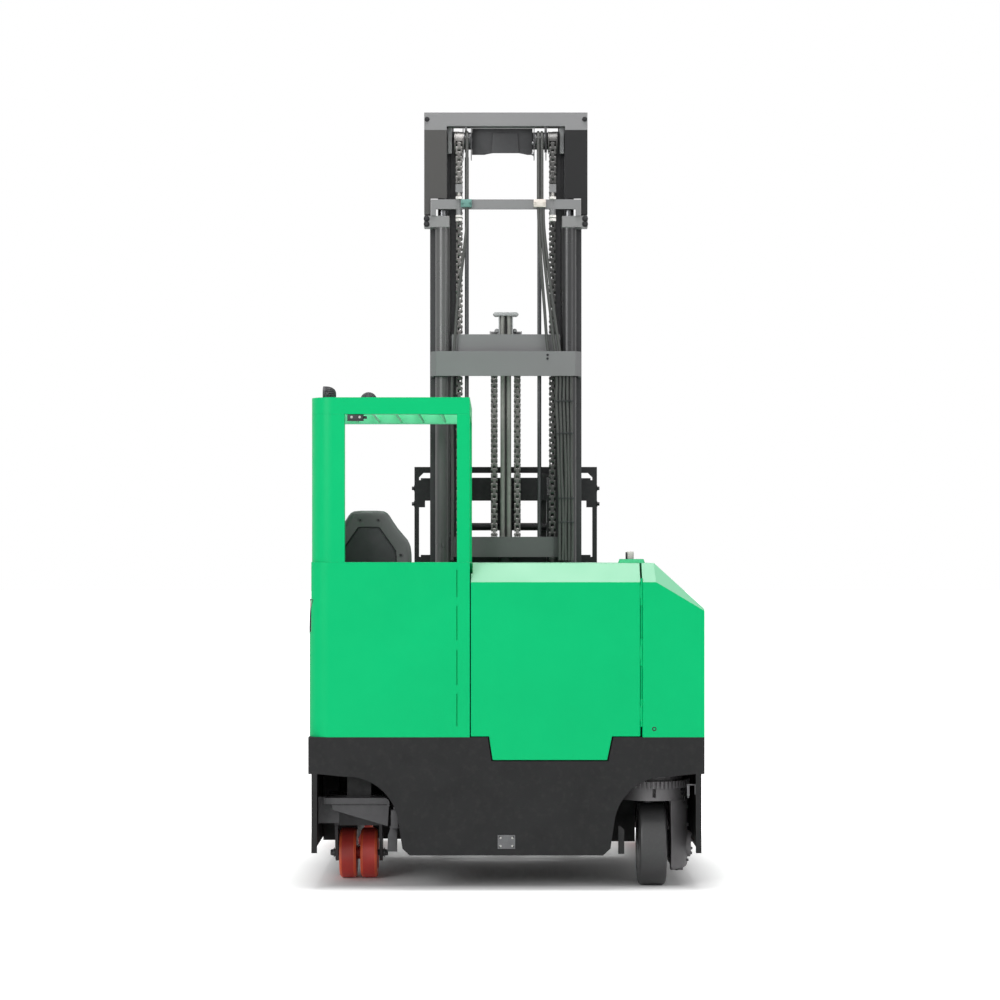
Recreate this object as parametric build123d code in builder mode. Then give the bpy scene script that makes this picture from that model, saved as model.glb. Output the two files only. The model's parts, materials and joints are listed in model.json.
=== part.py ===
from build123d import *
import os
from math import pi

os.makedirs("parts", exist_ok=True)

# Four-way reach truck, all sizes in millimetres.
# X runs to the right as seen from behind, Y runs forward to the forks, Z is up from the floor.
# The origin is on the floor, in the middle of the machine's box.

# Whole machine
body_width = 1764
body_depth = 1000
mast_gap = 150          # from the body's front to the rear of the mast channels
mast_rear = body_depth + mast_gap       # depths are measured from the rear face
carriage_ahead = 250    # from the rear of the mast channels to the front of the fork carriage
fork_face = mast_rear + carriage_ahead
fork_length = 1150
overall_length = fork_face + fork_length
rear_y = -overall_length / 2
fork_tip_y = overall_length / 2
front_y = rear_y + body_depth
side_x = body_width / 2
seat_gap = 0.3          # play between a piece and what it rests or turns on
moving_gap = 6          # room round a piece that moves past another

# Black base with its two wheel arches
base_low_z = 157
band_low_z = 519
deck_z = 560
base_top_z = 683
rear_plate = 40
base_wall = 40
arch_foot_x = side_x - 452
arch_foot_z = 187
arch_inner_x = side_x - 419
arch_knee_x = side_x - 402
arch_knee_z = 300
arch_top_x = side_x - 162
arch_top_z = 507
arch_end_x = side_x - 42
house_inner_x = side_x - 442            # inner wall of the wheel houses
house_depth = body_depth - 360
centre_front_x = side_x - 342           # half width of the centre block ahead of the wheel houses
tunnel_half = 60        # tunnel of the reach cylinder
tunnel_low_z = 250
tunnel_high_z = 390
tunnel_depth = body_depth - 560

# Side skirts
skirt_plate = 6
skirt_inset = 14
skirt_low_z = 167
skirt_flange = 25

# Support legs with the roller channel on their inner side
leg_outer_x = side_x - skirt_inset - skirt_plate
leg_width = 262
leg_inner_x = leg_outer_x - leg_width
leg_box_x = leg_inner_x + 100           # side wall behind the roller channel
leg_rear = body_depth - 340
leg_low_z = 150
leg_top_z = 400
leg_flange = 22
tip_plate = 45
reach_roller_dia = 120
reach_roller_width = 44

# Load wheels under the leg tips
drive_depth = 230
wheelbase = 1520        # from the drive wheel to the load wheels
load_wheel_depth = drive_depth + wheelbase
leg_tip_round = 150     # the leg's channel ends this far behind the load wheel, its tip plate as far ahead
leg_box_end = load_wheel_depth - leg_tip_round
leg_tip_end = load_wheel_depth + leg_tip_round
load_wheel_dia = 250
load_wheel_width = 100
load_x = (leg_inner_x + leg_outer_x) / 2
load_axle_dia = 30
load_plate_low_z = 290
load_swing = 100        # radius of the fork's slewing plate

# Cab
cab_left_x = -side_x
cab_upper_x = cab_left_x + 10           # outer face of the pillars and the guard
cab_width = 721
cab_right_x = cab_left_x + cab_width
seam = 4                # half of a seam between two fixed panels
cab_wall = 40
cab_sill_z = 1462
cab_front_z = 1300
cab_corner = 90
cab_step_z = 1150       # above this the left side stands further in
panel_seam_x = cab_right_x - 59         # slots of a panel seam in the rear wall
panel_seam_width = 5
panel_seams = (
    # lower and upper end
    (733, 875),
    (915, 1071),
    (1116, 1267),
    (1307, 1427),
)
window_left_x = cab_upper_x + 152
window_right_x = cab_right_x - 59
pillar_plate = 40
pillar_return = 250
pillar_corner = 95
front_post_width = 50
front_post_depth = 60
guard_low_z = 2121
guard_top_z = 2196
guard_depth = body_depth - 134
entry_front = guard_depth - front_post_depth
entry_rear = entry_front - 406          # the entry on the left side
guard_beam = 45
slat_count = 5
slat_pitch = 105
slat_plate = 10
slat_height = 70
slat_lean = 35          # degrees from upright

# Hood, battery door and right cover
hood_z = 1458
hood_plate = 40
crease_z = 1373
facet_depth = 90
cover_x = side_x - 281  # hinge line between the door and the right cover
chamfer_top_x = side_x - 220
chamfer_side_z = 1254
cover_wall = 40
door_plate = 40
door_gap = 5
tab_top_left_x = cab_right_x + 84
tab_top_right_x = cover_x - 131
tab_low_left_x = tab_top_left_x + 16
tab_low_right_x = tab_top_right_x - 22
tab_low_z = 582
tab_plate = 12
door_edge = 4.5         # from the hinge line to the door's edge and to the cover
hinge_depth = 4.2       # the hinge line lies this far in from the rear face
knuckle_dia = 8
hinge_pin_dia = 5
knuckle_long = 60
door_knuckles = (760, 1030, 1300)       # lower ends of the door's knuckles

# Reach cylinder and charging socket
reach_barrel_dia = 80
reach_rod_dia = 45
reach_bore_low = 40     # bottom of the bore from the barrel's end
reach_piston_gap = 10   # between the rod's end and the bottom of its bore
socket_x = 0
socket_z = 217
socket_width = 79
socket_height = 62
socket_plate_thick = 8
socket_hole = 9
socket_hole_x = 60
socket_hole_z = 42

# Battery
battery_clear = 20
battery_height = 760

# Seat and controls
seat_x = cab_left_x + 253
seat_rear = 260
seat_width = 390
seat_back_top_z = 1698
cushion_low_z = 900
cushion_high_z = 1010
cushion_depth = 400
back_pad = 60
back_top_half = 75      # half width of the back at its top
back_shoulder = 140     # from the back's top down to its full width
back_panel = 6          # depth of the panel sunk in the back's shell
panel_inset = 72        # from the shell's edge to the sunk panel
seat_shell = 45         # thickness of the back's plastic shell
wheel_ring_dia = 200    # steering wheel
wheel_ring_z = 1215
wheel_depth = body_depth - 160
console_right_x = cab_right_x - 54
console_width = 185
console_left_x = console_right_x - console_width
console_front = body_depth - 100
console_rear = console_front - 470
console_top_z = 1130
armrest_long = 250
armrest_wide = 90
lever_ahead = 330       # from the console's rear to the control lever
lamp_dia = 88
lamp_long = 62
lamp_foot = 12
lamp_ribs = 3
lamp_rib_pitch = 15
guard_box_x = window_left_x + 8         # small box under the guard's rear beam
guard_box_wide = 72
guard_box_high = 30
guard_box_deep = 38
handle_x = cover_x - 41
handle_depth = 180
handle_dia = 30
handle_height = 50

# Castor at the left rear
castor_x = cab_left_x + 201
castor_depth = 430
castor_trail = 38
castor_dia = 230
castor_width = 77
castor_split = 20
castor_plate_dia = 300
castor_plate_low_z = 345
castor_plate_high_z = 372
castor_axle_dia = 30
mount_plate = 24        # fixed plate over the castor's slewing plate
castor_shelf_half = 144 # bracket behind the castor: a shelf with a bent end and a wedge plate below
castor_shelf_rear = 80
castor_shelf_front = 150
castor_shelf_low_z = 378
castor_shelf_high_z = 405
castor_shelf_bend = 38
wedge_plate = 12
wedge_low_z = 277
wedge_high_z = 350
shelf_plate_low_z = 286                 # plate below the shelf's outer end
cheek_plate = 14        # cheeks of the castor and of the load wheels' forks
cheek_gap = 8

# Drive unit at the right rear
drive_x = side_x - 224
drive_dia = 370
drive_width = 123
ring_dia = 350
ring_low_z = 448
ring_high_z = 480
ring_teeth = 56
tooth_height = 9
casting_low_z = 392
casting_dia = 320
hub_stand = 20          # the hub stands out from the tyre towards the gearbox
gearbox_inner = drive_width / 2 + hub_stand      # from the steering axis
gearbox_outer = 164
gearbox_low_z = 81
casting_slot = 15       # slot in the casting's rear edge
casting_slot_deep = 30
gearbox_corner = 25     # round between the casting's underside and the gearbox
drain_lug = 56

# Reach frame between the legs
arm_outer_x = leg_inner_x - 10
arm_inner_x = arm_outer_x - 34
arm_rear = mast_rear - 460
arm_front = mast_rear + 50
arm_low_z = 262
arm_high_z = 374
roller_rear = arm_rear + 62
roller_front = arm_front - 180
reach_tie_rear = mast_rear - 138
reach_tie_front = mast_rear - 102
reach_tie_low_z = 160
reach_tie_high_z = 360

# Mast, from the rear face and from its middle line
mast_depth = 140
channel_web = 13
channel_flange = 16
outer_x = 372
outer_inner_x = 322
middle_x = 317
middle_inner_x = 275
inner_x = 270
inner_inner_x = 229
outer_low_z = 110
middle_low_z = 140
inner_low_z = 180
outer_top_z = 3093
head_low_z = 3585
head_top_z = 3651
inner_top_z = 3575

roller_reach = 30       # a guide roller's reach out of its channel
roller_heights = (80, 330)              # above the foot of their channel
main_member_low_z = 2365
main_member_high_z = 2485
main_member_rear = mast_rear - 132
main_member_plate = 14
member_bend = 34
low_tie_plate = 8
upper_member_low_z = 2451
upper_member_high_z = 2571
upper_member_half = 232
lower_member_low_z = 1484
lower_member_high_z = 1583
member_rear = mast_rear - 88
member_plate = 12
member_return = 252     # inner face of a cross member's returns

# Lift cylinders behind the mast
lift_x = 308
lift_depth = mast_rear - 55
lift_barrel_dia = 73
lift_rod_dia = 50
lift_low_z = 130
lift_bore_low = 60      # bottom of the bore above the barrel's foot
lift_piston_gap = 20
clamp_top_z = 3147
clamp_inner_x = 275
clamp_outer_x = 399
clamp_rear = mast_rear - 100
clamp_front = mast_rear - 18

# Free lift cylinder in the middle of the inner mast
free_depth = mast_rear + 75
free_barrel_dia = 63
free_rod_dia = 45
free_low_z = 215
free_top_z = 1835
free_bore_low = 40      # bottom of the bore above the barrel's foot
free_down = 620         # how far the crosshead can sink from where it stands
free_rod_low_z = free_low_z + free_bore_low + free_down + 10
sheave_axis_z = 2540
sheave_pitch_dia = 100
sheave_offset = 12      # sheaves stand a little ahead of the rod
collar_low_z = 1500
collar_high_z = 1560
inner_tie = 22
foot_tie = 10           # thinner than the flange, behind the carriage's lower rollers
inner_tie_low_z = 3489
crosshead_z = 2690
carriage_anchor_z = 1700
carriage_anchor = 50    # height of the block that takes the centre chains

# Chains
chain_pitch = 50.8
chain_width = 34
chain_wide = 20         # front to back at a link
chain_waist = 14        # front to back between two links
sheave_flange = 4       # a sheave's flanges, which stand out past the chain
flange_out = 2
outer_chain_x = 228
outer_chain_rear = mast_rear - 104
outer_chain_front = mast_rear - 20
centre_chain_x = 57
chain_lug_rear = mast_rear - 32
chain_lug_z = 300       # top of the lug at the foot of the inner mast
anchor_half = 365
anchor_rear = mast_rear - 110
anchor_front = mast_rear - 94
anchor_low_z = 3179
anchor_high_z = 3226
chain_end_z = 3300      # where the links begin above the threaded ends
head_sheave_z = 3510
head_half = 398
head_rear = mast_rear - 100
head_front = mast_rear - 30
head_strip_x = 368      # inner face of the strips at the head's ends
head_strip_z = 3155
head_plate_x = 288
head_plate_z = 3232
head_plate_rear = mast_rear - 100
head_plate_front = mast_rear - 90

# Carriage, backrest and forks
carriage_x = 222
fork_thick = 45
fork_width = 120
fork_spread = 230       # middle of a fork from the middle line
fork_low_z = 1295
backrest_x = 457
backrest_top_z = 1935
upper_bar_low_z = 1766
upper_bar_high_z = 1879
upper_bar_x = 425
tilt_bar_z = 1635
tilt_bar_dia = 38
lower_bar_low_z = 1371
lower_bar_high_z = 1495
carriage_plate = 20
carriage_plate_rear = mast_rear + 30
carriage_bar_depth = mast_rear + 180
carriage_bar = 22
carriage_nose = 60      # level stretch at the top of a side plate
carriage_slope = 90     # fall of the slope behind it
carriage_roller_low = 60                # above the lower bar's lower edge
carriage_roller_high = 150              # below the upper bar's upper edge
carriage_roller_reach = 34
tilt_bar_depth = mast_rear + 176
tilt_frame_rear = mast_rear + 212
tilt_frame_plate = 16
tilt_ear_wall = 11
tilt_ear = 70           # half height of an ear where it meets the frame
backrest_post = 23
fork_tip_width = 70
fork_tip_thick = 12
fork_taper = 500
tilt_frame_half = 330
backrest_rail = 30
hook_plate = 30         # plates that hold the side shift's hooks, beside the posts
hook_drop = 33
backrest_gusset = 22

# Pipes on the middle mast and hoses on the outer mast
pipe_dia = 20
pipe_depth = mast_rear - 48
pipe_high_z = 3440
pipe_runs = (
    # x, lower end
    (-191, lower_member_low_z),
    (164, lower_member_low_z),
)
hose_dia = 15
hose_pitch = 18
hose_count = 5
hose_first_x = 246
hose_depth = main_member_rear + main_member_plate + hose_dia / 2 + seat_gap     # just ahead of the member
hose_low_z = 1466
hose_high_z = 2540
hose_clips = (1650, 2240)
hose_clip = 14


def rear_plane(depth):
    """The upright plane at a depth from the rear face, seen from behind."""
    return Plane.XZ.offset(-(rear_y + depth))


def block(x0, x1, depth0, depth1, z0, z1, mode=Mode.ADD):
    """A box between two corners, with depths from the rear face."""
    with BuildSketch(Plane.XY.offset(z0)) as base:
        with Locations(((x0 + x1) / 2, rear_y + (depth0 + depth1) / 2)):
            Rectangle(x1 - x0, depth1 - depth0)
    extrude(base.sketch, amount=z1 - z0, mode=mode)


def pair(x0, x1, depth0, depth1, z0, z1, mode=Mode.ADD):
    """The same box on the right and on the left of the middle line."""
    block(x0, x1, depth0, depth1, z0, z1, mode)
    block(-x1, -x0, depth0, depth1, z0, z1, mode)


def upright(x, depth, z0, z1, dia, mode=Mode.ADD):
    """A round bar that stands upright."""
    with BuildSketch(Plane.XY.offset(z0)) as base:
        with Locations((x, rear_y + depth)):
            Circle(dia / 2)
    extrude(base.sketch, amount=z1 - z0, mode=mode)


def crosswise(x0, x1, depth, z, dia, mode=Mode.ADD):
    """A round bar that lies across the machine."""
    with BuildSketch(Plane.YZ.offset(x0)) as base:
        with Locations((rear_y + depth, z)):
            Circle(dia / 2)
    extrude(base.sketch, amount=x1 - x0, mode=mode)


def lengthwise(x, depth0, depth1, z, dia, mode=Mode.ADD):
    """A round bar that lies front to back."""
    with BuildSketch(rear_plane(depth0)) as base:
        with Locations((x, z)):
            Circle(dia / 2)
    extrude(base.sketch, amount=-(depth1 - depth0), mode=mode)


# Base: rear plate with the arches, slab, side bands, centre block and front beams
with BuildPart() as base_frame:
    with BuildSketch(rear_plane(0)) as rear_outline:
        with BuildLine():
            Polyline((0, base_low_z), (arch_foot_x, base_low_z), (arch_inner_x, arch_foot_z),
                     (arch_knee_x, arch_knee_z))
            ThreePointArc((arch_knee_x, arch_knee_z),
                          (arch_knee_x + 0.29 * (arch_top_x - arch_knee_x),
                           arch_knee_z + 0.69 * (arch_top_z - arch_knee_z)),
                          (arch_top_x, arch_top_z))
            Polyline((arch_top_x, arch_top_z), (arch_end_x, band_low_z), (side_x, band_low_z),
                     (side_x, base_top_z), (0, base_top_z), (0, base_low_z))
        make_face()
        mirror(about=Plane.YZ)
    extrude(amount=-rear_plate)
    block(-side_x, side_x, rear_plate, body_depth, band_low_z, deck_z)
    pair(side_x - base_wall, side_x, rear_plate, body_depth, deck_z, base_top_z)
    block(-side_x, side_x, body_depth - base_wall, body_depth, deck_z, base_top_z)
    block(-house_inner_x, house_inner_x, rear_plate, house_depth, base_low_z, band_low_z)
    block(-centre_front_x, centre_front_x, house_depth, body_depth, base_low_z, band_low_z)
    pair(leg_inner_x, leg_outer_x, leg_rear, body_depth, leg_top_z, band_low_z)
    # Entry step on the left side
    block(cab_left_x, cab_left_x + base_wall, entry_rear, entry_front, deck_z, base_top_z,
          Mode.SUBTRACT)
    # Tunnel of the reach cylinder
    block(-tunnel_half, tunnel_half, tunnel_depth, body_depth, tunnel_low_z, tunnel_high_z,
          Mode.SUBTRACT)
    # Recess that leaves room for the tab of the battery door
    with BuildSketch(rear_plane(0)):
        Polygon((tab_top_left_x - moving_gap, base_top_z),
                (tab_low_left_x - moving_gap, tab_low_z - moving_gap),
                (tab_low_right_x + moving_gap, tab_low_z - moving_gap),
                (tab_top_right_x + moving_gap, base_top_z), align=None)
    extrude(amount=-(tab_plate + moving_gap), mode=Mode.SUBTRACT)
    # Recess of the socket plate
    with BuildSketch(rear_plane(0)):
        with Locations((socket_x, socket_z)):
            Rectangle(socket_width, socket_height)
    extrude(amount=-socket_plate_thick, mode=Mode.SUBTRACT)
base_frame.part.label = "base_frame"
export_step(base_frame.part, "parts/base_frame.step")

# Side skirts: a thin plate on each side with a turned rear edge
with BuildPart() as side_skirts:
    with BuildSketch(Plane.XY.offset(skirt_low_z)):
        with BuildLine():
            Polyline((leg_outer_x, front_y), (leg_outer_x + skirt_plate, front_y),
                     (leg_outer_x + skirt_plate, rear_y),
                     (leg_outer_x + skirt_plate - skirt_flange, rear_y),
                     (leg_outer_x + skirt_plate - skirt_flange, rear_y + skirt_plate),
                     (leg_outer_x, rear_y + skirt_plate), (leg_outer_x, front_y))
        make_face()
        mirror(about=Plane.YZ)
    extrude(amount=band_low_z - skirt_low_z)
side_skirts.part.label = "side_skirts"
export_step(side_skirts.part, "parts/side_skirts.step")

# Support legs: a box with a roller channel inside and a plate over the wheel at the tip
channel_high_z = leg_top_z - leg_flange
channel_low_z = channel_high_z - reach_roller_dia - 2 * seat_gap
with BuildPart() as support_legs:
    pair(leg_inner_x, leg_outer_x, leg_rear, leg_box_end, leg_low_z, leg_top_z)
    pair(leg_inner_x, leg_box_x, leg_rear, leg_box_end, channel_low_z, channel_high_z, Mode.SUBTRACT)
    pair(leg_inner_x, leg_box_x, leg_rear, leg_box_end, leg_low_z, channel_low_z - leg_flange,
         Mode.SUBTRACT)
    with BuildSketch(Plane.XY.offset(leg_top_z - tip_plate)):
        with BuildLine():
            Polyline((leg_inner_x, rear_y + leg_box_end), (leg_outer_x, rear_y + leg_box_end),
                     (leg_outer_x, rear_y + load_wheel_depth))
            ThreePointArc((leg_outer_x, rear_y + load_wheel_depth), (load_x, rear_y + leg_tip_end),
                          (leg_inner_x, rear_y + load_wheel_depth))
            Line((leg_inner_x, rear_y + load_wheel_depth), (leg_inner_x, rear_y + leg_box_end))
        make_face()
        mirror(about=Plane.YZ)
    extrude(amount=tip_plate)
support_legs.part.label = "support_legs"
export_step(support_legs.part, "parts/support_legs.step")

# Plates that carry the castor and the drive unit, under the slab
with BuildPart() as wheel_mounts:
    upright(castor_x, castor_depth, castor_plate_high_z + seat_gap, castor_plate_high_z + mount_plate,
            castor_plate_dia - 20)
    upright(castor_x, castor_depth, castor_plate_high_z + mount_plate, band_low_z, castor_plate_dia * 0.6)
    upright(drive_x, drive_depth, ring_high_z + seat_gap, band_low_z, ring_dia - 60)
    shelf_left_x = castor_x - castor_shelf_half + 14
    shelf_right_x = castor_x + castor_shelf_half + 13
    with BuildSketch(rear_plane(castor_shelf_rear)) as shelf:
        bend_low_z = castor_shelf_high_z - castor_shelf_bend
        Polygon((shelf_left_x, castor_shelf_low_z), (shelf_left_x, castor_shelf_high_z),
                (shelf_right_x, castor_shelf_high_z), (shelf_right_x, bend_low_z),
                (shelf_right_x - wedge_plate, bend_low_z),
                (shelf_right_x - wedge_plate, castor_shelf_low_z), align=None)
        fillet(shelf.vertices().group_by(Axis.X)[-1].sort_by(Axis.Y)[-1], radius=castor_shelf_bend * 0.6)
    extrude(amount=-(castor_shelf_front - castor_shelf_rear))
    with BuildSketch(rear_plane(castor_shelf_rear + wedge_plate)):
        Polygon((shelf_left_x + 25, castor_shelf_low_z), (shelf_left_x + 32, wedge_high_z),
                (shelf_right_x - 8, wedge_low_z), (shelf_right_x - 2, castor_shelf_low_z), align=None)
    extrude(amount=-wedge_plate)
    block(shelf_left_x - 36, castor_x - castor_shelf_half / 2, castor_shelf_front - wedge_plate,
          castor_shelf_front, shelf_plate_low_z, castor_shelf_high_z)
    block(castor_x - castor_shelf_half / 4, castor_x + castor_shelf_half / 2,
          castor_shelf_front - wedge_plate, castor_shelf_front, castor_shelf_high_z, band_low_z)
wheel_mounts.part.label = "wheel_mounts"
export_step(wheel_mounts.part, "parts/wheel_mounts.step")

# Barrel of the reach cylinder in its tunnel
reach_z = (tunnel_low_z + tunnel_high_z) / 2
with BuildPart() as reach_barrel:
    lengthwise(0, tunnel_depth, body_depth, reach_z, reach_barrel_dia)
    lengthwise(0, tunnel_depth + reach_bore_low, body_depth, reach_z, reach_rod_dia + 1, Mode.SUBTRACT)
reach_barrel.part.label = "reach_barrel"
export_step(reach_barrel.part, "parts/reach_barrel.step")

# Plate of the charging socket, flush in the rear plate
with BuildPart() as socket_plate:
    with BuildSketch(rear_plane(0)):
        with Locations((socket_x, socket_z)):
            Rectangle(socket_width - 1, socket_height - 1)
            with GridLocations(socket_hole_x, socket_hole_z, 2, 2):
                Circle(socket_hole / 2, mode=Mode.SUBTRACT)
    extrude(amount=-socket_plate_thick)
socket_plate.part.label = "socket_plate"
export_step(socket_plate.part, "parts/socket_plate.step")

# Cab shell: rear wall, left side behind the entry, partition and low front wall
with BuildPart() as cab_shell:
    with BuildSketch(Plane.XY.offset(base_top_z)) as cab_plan:
        with Locations(((cab_left_x + cab_right_x - seam / 2) / 2, rear_y + body_depth / 2)):
            Rectangle(cab_right_x - seam / 2 - cab_left_x, body_depth)
        rear_left = cab_plan.vertices().group_by(Axis.X)[0].sort_by(Axis.Y)[0]
        fillet(rear_left, radius=cab_corner)
        offset(amount=-cab_wall, mode=Mode.SUBTRACT)
    extrude(amount=cab_sill_z - base_top_z)
    # Entry, and the front wall lower than the rear
    block(cab_left_x, cab_left_x + cab_wall, entry_rear, entry_front, base_top_z, cab_sill_z, Mode.SUBTRACT)
    block(cab_left_x, cab_right_x - cab_wall - seam, entry_front, body_depth, cab_front_z, cab_sill_z,
          Mode.SUBTRACT)
    for seam_low_z, seam_high_z in panel_seams:
        block(panel_seam_x - panel_seam_width / 2, panel_seam_x + panel_seam_width / 2, 0, panel_seam_width,
              seam_low_z, seam_high_z, Mode.SUBTRACT)
    # The upper part of the left side stands a little further in
    block(cab_left_x, cab_upper_x, 0, body_depth, cab_step_z, cab_sill_z, Mode.SUBTRACT)
cab_shell.part.label = "cab_shell"
export_step(cab_shell.part, "parts/cab_shell.step")

# Pillars: wide rounded corner at the rear left, flat post at the rear right, two slim posts in front
with BuildPart() as cab_pillars:
    with BuildSketch(Plane.XY.offset(cab_sill_z)):
        with BuildLine():
            Polyline((window_left_x, rear_y + pillar_plate), (window_left_x, rear_y),
                     (cab_upper_x + pillar_corner, rear_y))
            RadiusArc((cab_upper_x + pillar_corner, rear_y), (cab_upper_x, rear_y + pillar_corner),
                      pillar_corner)
            Polyline((cab_upper_x, rear_y + pillar_corner), (cab_upper_x, rear_y + pillar_return),
                     (cab_upper_x + pillar_plate, rear_y + pillar_return),
                     (cab_upper_x + pillar_plate, rear_y + pillar_corner))
            RadiusArc((cab_upper_x + pillar_plate, rear_y + pillar_corner),
                      (cab_upper_x + pillar_corner, rear_y + pillar_plate),
                      -(pillar_corner - pillar_plate))
            Line((cab_upper_x + pillar_corner, rear_y + pillar_plate),
                 (window_left_x, rear_y + pillar_plate))
        make_face()
    extrude(amount=guard_low_z - cab_sill_z)
    block(window_right_x, cab_right_x - seam / 2, 0, front_post_depth, cab_sill_z, guard_low_z)
    block(cab_upper_x, cab_upper_x + front_post_width, guard_depth - front_post_depth, guard_depth,
          cab_front_z, guard_low_z)
    block(cab_right_x - seam / 2 - front_post_width, cab_right_x - seam / 2, guard_depth - front_post_depth,
          guard_depth, cab_sill_z, guard_low_z)
cab_pillars.part.label = "cab_pillars"
export_step(cab_pillars.part, "parts/cab_pillars.step")

# Overhead guard: a frame with rounded corners and leaning slats that run front to back
guard_right_x = cab_right_x - seam / 2
with BuildPart() as overhead_guard:
    with BuildSketch(Plane.XY.offset(guard_low_z)) as guard_plan:
        with Locations(((cab_upper_x + guard_right_x) / 2, rear_y + guard_depth / 2)):
            Rectangle(guard_right_x - cab_upper_x, guard_depth)
        fillet(guard_plan.vertices().group_by(Axis.X)[0], radius=pillar_corner)
        offset(amount=-guard_beam, mode=Mode.SUBTRACT)
    extrude(amount=guard_top_z - guard_low_z)
    slat_middle_x = (cab_upper_x + guard_right_x) / 2
    with BuildSketch(rear_plane(guard_beam - 1)):
        with Locations((slat_middle_x, (guard_low_z + guard_top_z) / 2)):
            with GridLocations(slat_pitch, 1, slat_count, 1):
                Rectangle(slat_plate, slat_height, rotation=slat_lean)
    extrude(amount=-(guard_depth - 2 * guard_beam + 2))
overhead_guard.part.label = "overhead_guard"
export_step(overhead_guard.part, "parts/overhead_guard.step")

# Battery door: upright plate, leaning facet on top and a tab that hangs over the base
with BuildPart() as battery_door:
    with BuildSketch(Plane.YZ.offset(cab_right_x + door_gap - seam / 2)) as door_profile:
        with BuildLine():
            Polyline((rear_y, base_top_z + seam), (rear_y, crease_z), (rear_y + facet_depth, hood_z),
                     (rear_y + facet_depth, hood_z - hood_plate),
                     (rear_y + door_plate,
                      crease_z - hood_plate + door_plate * (hood_z - crease_z) / facet_depth),
                     (rear_y + door_plate, base_top_z + seam), (rear_y, base_top_z + seam))
        make_face()
    extrude(amount=cover_x - door_edge - (cab_right_x + door_gap - seam / 2))
    chamfer(battery_door.edges().filter_by(Axis.Z).group_by(Axis.X)[-1].sort_by(Axis.Y)[0], length=4)
    # The facet's left end is trimmed, because it swings outwards first
    block(cab_right_x, cab_right_x + 2 * door_gap, door_plate, facet_depth, crease_z - hood_plate, hood_z,
          Mode.SUBTRACT)
    with BuildSketch(rear_plane(0)):
        Polygon((tab_top_left_x, base_top_z + seam + 2), (tab_low_left_x, tab_low_z),
                (tab_low_right_x, tab_low_z), (tab_top_right_x, base_top_z + seam + 2), align=None)
    extrude(amount=-tab_plate)
    for knuckle_z in door_knuckles:
        block(cover_x - door_edge - 4, cover_x, hinge_depth - 2, hinge_depth + knuckle_dia / 2, knuckle_z,
              knuckle_z + knuckle_long)
        upright(cover_x, hinge_depth, knuckle_z, knuckle_z + knuckle_long, knuckle_dia)
        upright(cover_x, hinge_depth, knuckle_z, knuckle_z + knuckle_long, hinge_pin_dia + 2 * seat_gap,
                Mode.SUBTRACT)
battery_door.part.label = "battery_door"
export_step(battery_door.part, "parts/battery_door.step")

# Hood deck over the battery, with the front wall of the body
with BuildPart() as hood_deck:
    block(cab_right_x + seam / 2, cover_x - seam / 2, facet_depth + door_gap, body_depth,
          hood_z - hood_plate, hood_z)
    block(cab_right_x + seam / 2, cover_x - seam / 2, body_depth - hood_plate, body_depth,
          base_top_z, hood_z - hood_plate)
hood_deck.part.label = "hood_deck"
export_step(hood_deck.part, "parts/hood_deck.step")

# Right cover: a hollow housing with a chamfered side and two facets at the rear
with BuildPart() as right_cover:
    with BuildSketch(rear_plane(0)):
        Polygon((cover_x + door_edge, base_top_z), (side_x, base_top_z), (side_x, chamfer_side_z),
                (chamfer_top_x, hood_z), (cover_x + door_edge, hood_z), align=None)
    extrude(amount=-body_depth)
    facet_plane = Plane(Face(Wire.make_polygon([
        (0, rear_y, crease_z), (0, rear_y + facet_depth, hood_z), (1, rear_y, crease_z)])))
    split(bisect_by=facet_plane, keep=Keep.BOTTOM if facet_plane.z_dir.Z > 0 else Keep.TOP)
    corner_plane = Plane(Face(Wire.make_polygon([
        (chamfer_top_x + 5, rear_y, crease_z), (side_x, rear_y, chamfer_side_z - 9),
        (chamfer_top_x + 3, rear_y + facet_depth, hood_z - 3)])))
    split(bisect_by=corner_plane, keep=Keep.BOTTOM if corner_plane.z_dir.Z > 0 else Keep.TOP)
    block(cover_x + cover_wall, side_x - cover_wall, facet_depth + cover_wall, body_depth - cover_wall,
          base_top_z, chamfer_side_z - cover_wall, Mode.SUBTRACT)
    chamfer(right_cover.edges().filter_by(Axis.Z).group_by(Axis.X)[0].sort_by(Axis.Y)[0], length=4)
    # Hinge pin of the door, held by lugs above and below each of the door's knuckles
    upright(cover_x, hinge_depth, door_knuckles[0] - knuckle_long / 2, door_knuckles[-1] + knuckle_long * 1.2,
            hinge_pin_dia)
    for knuckle_z in door_knuckles:
        for lug_z in (knuckle_z - seat_gap - knuckle_long / 2, knuckle_z + knuckle_long + seat_gap):
            block(cover_x, cover_x + door_edge + 2, hinge_depth, hinge_depth + knuckle_dia / 2, lug_z,
                  lug_z + knuckle_long / 2)
            upright(cover_x, hinge_depth, lug_z, lug_z + knuckle_long / 2, knuckle_dia)
right_cover.part.label = "right_cover"
export_step(right_cover.part, "parts/right_cover.step")

# Battery: one plain block on the slab
with BuildPart() as battery_block:
    block(cab_right_x + cab_wall, cover_x - cab_wall, facet_depth + cab_wall,
          body_depth - hood_plate - battery_clear, deck_z, deck_z + battery_height)
battery_block.part.label = "battery_block"
export_step(battery_block.part, "parts/battery_block.step")

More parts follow.
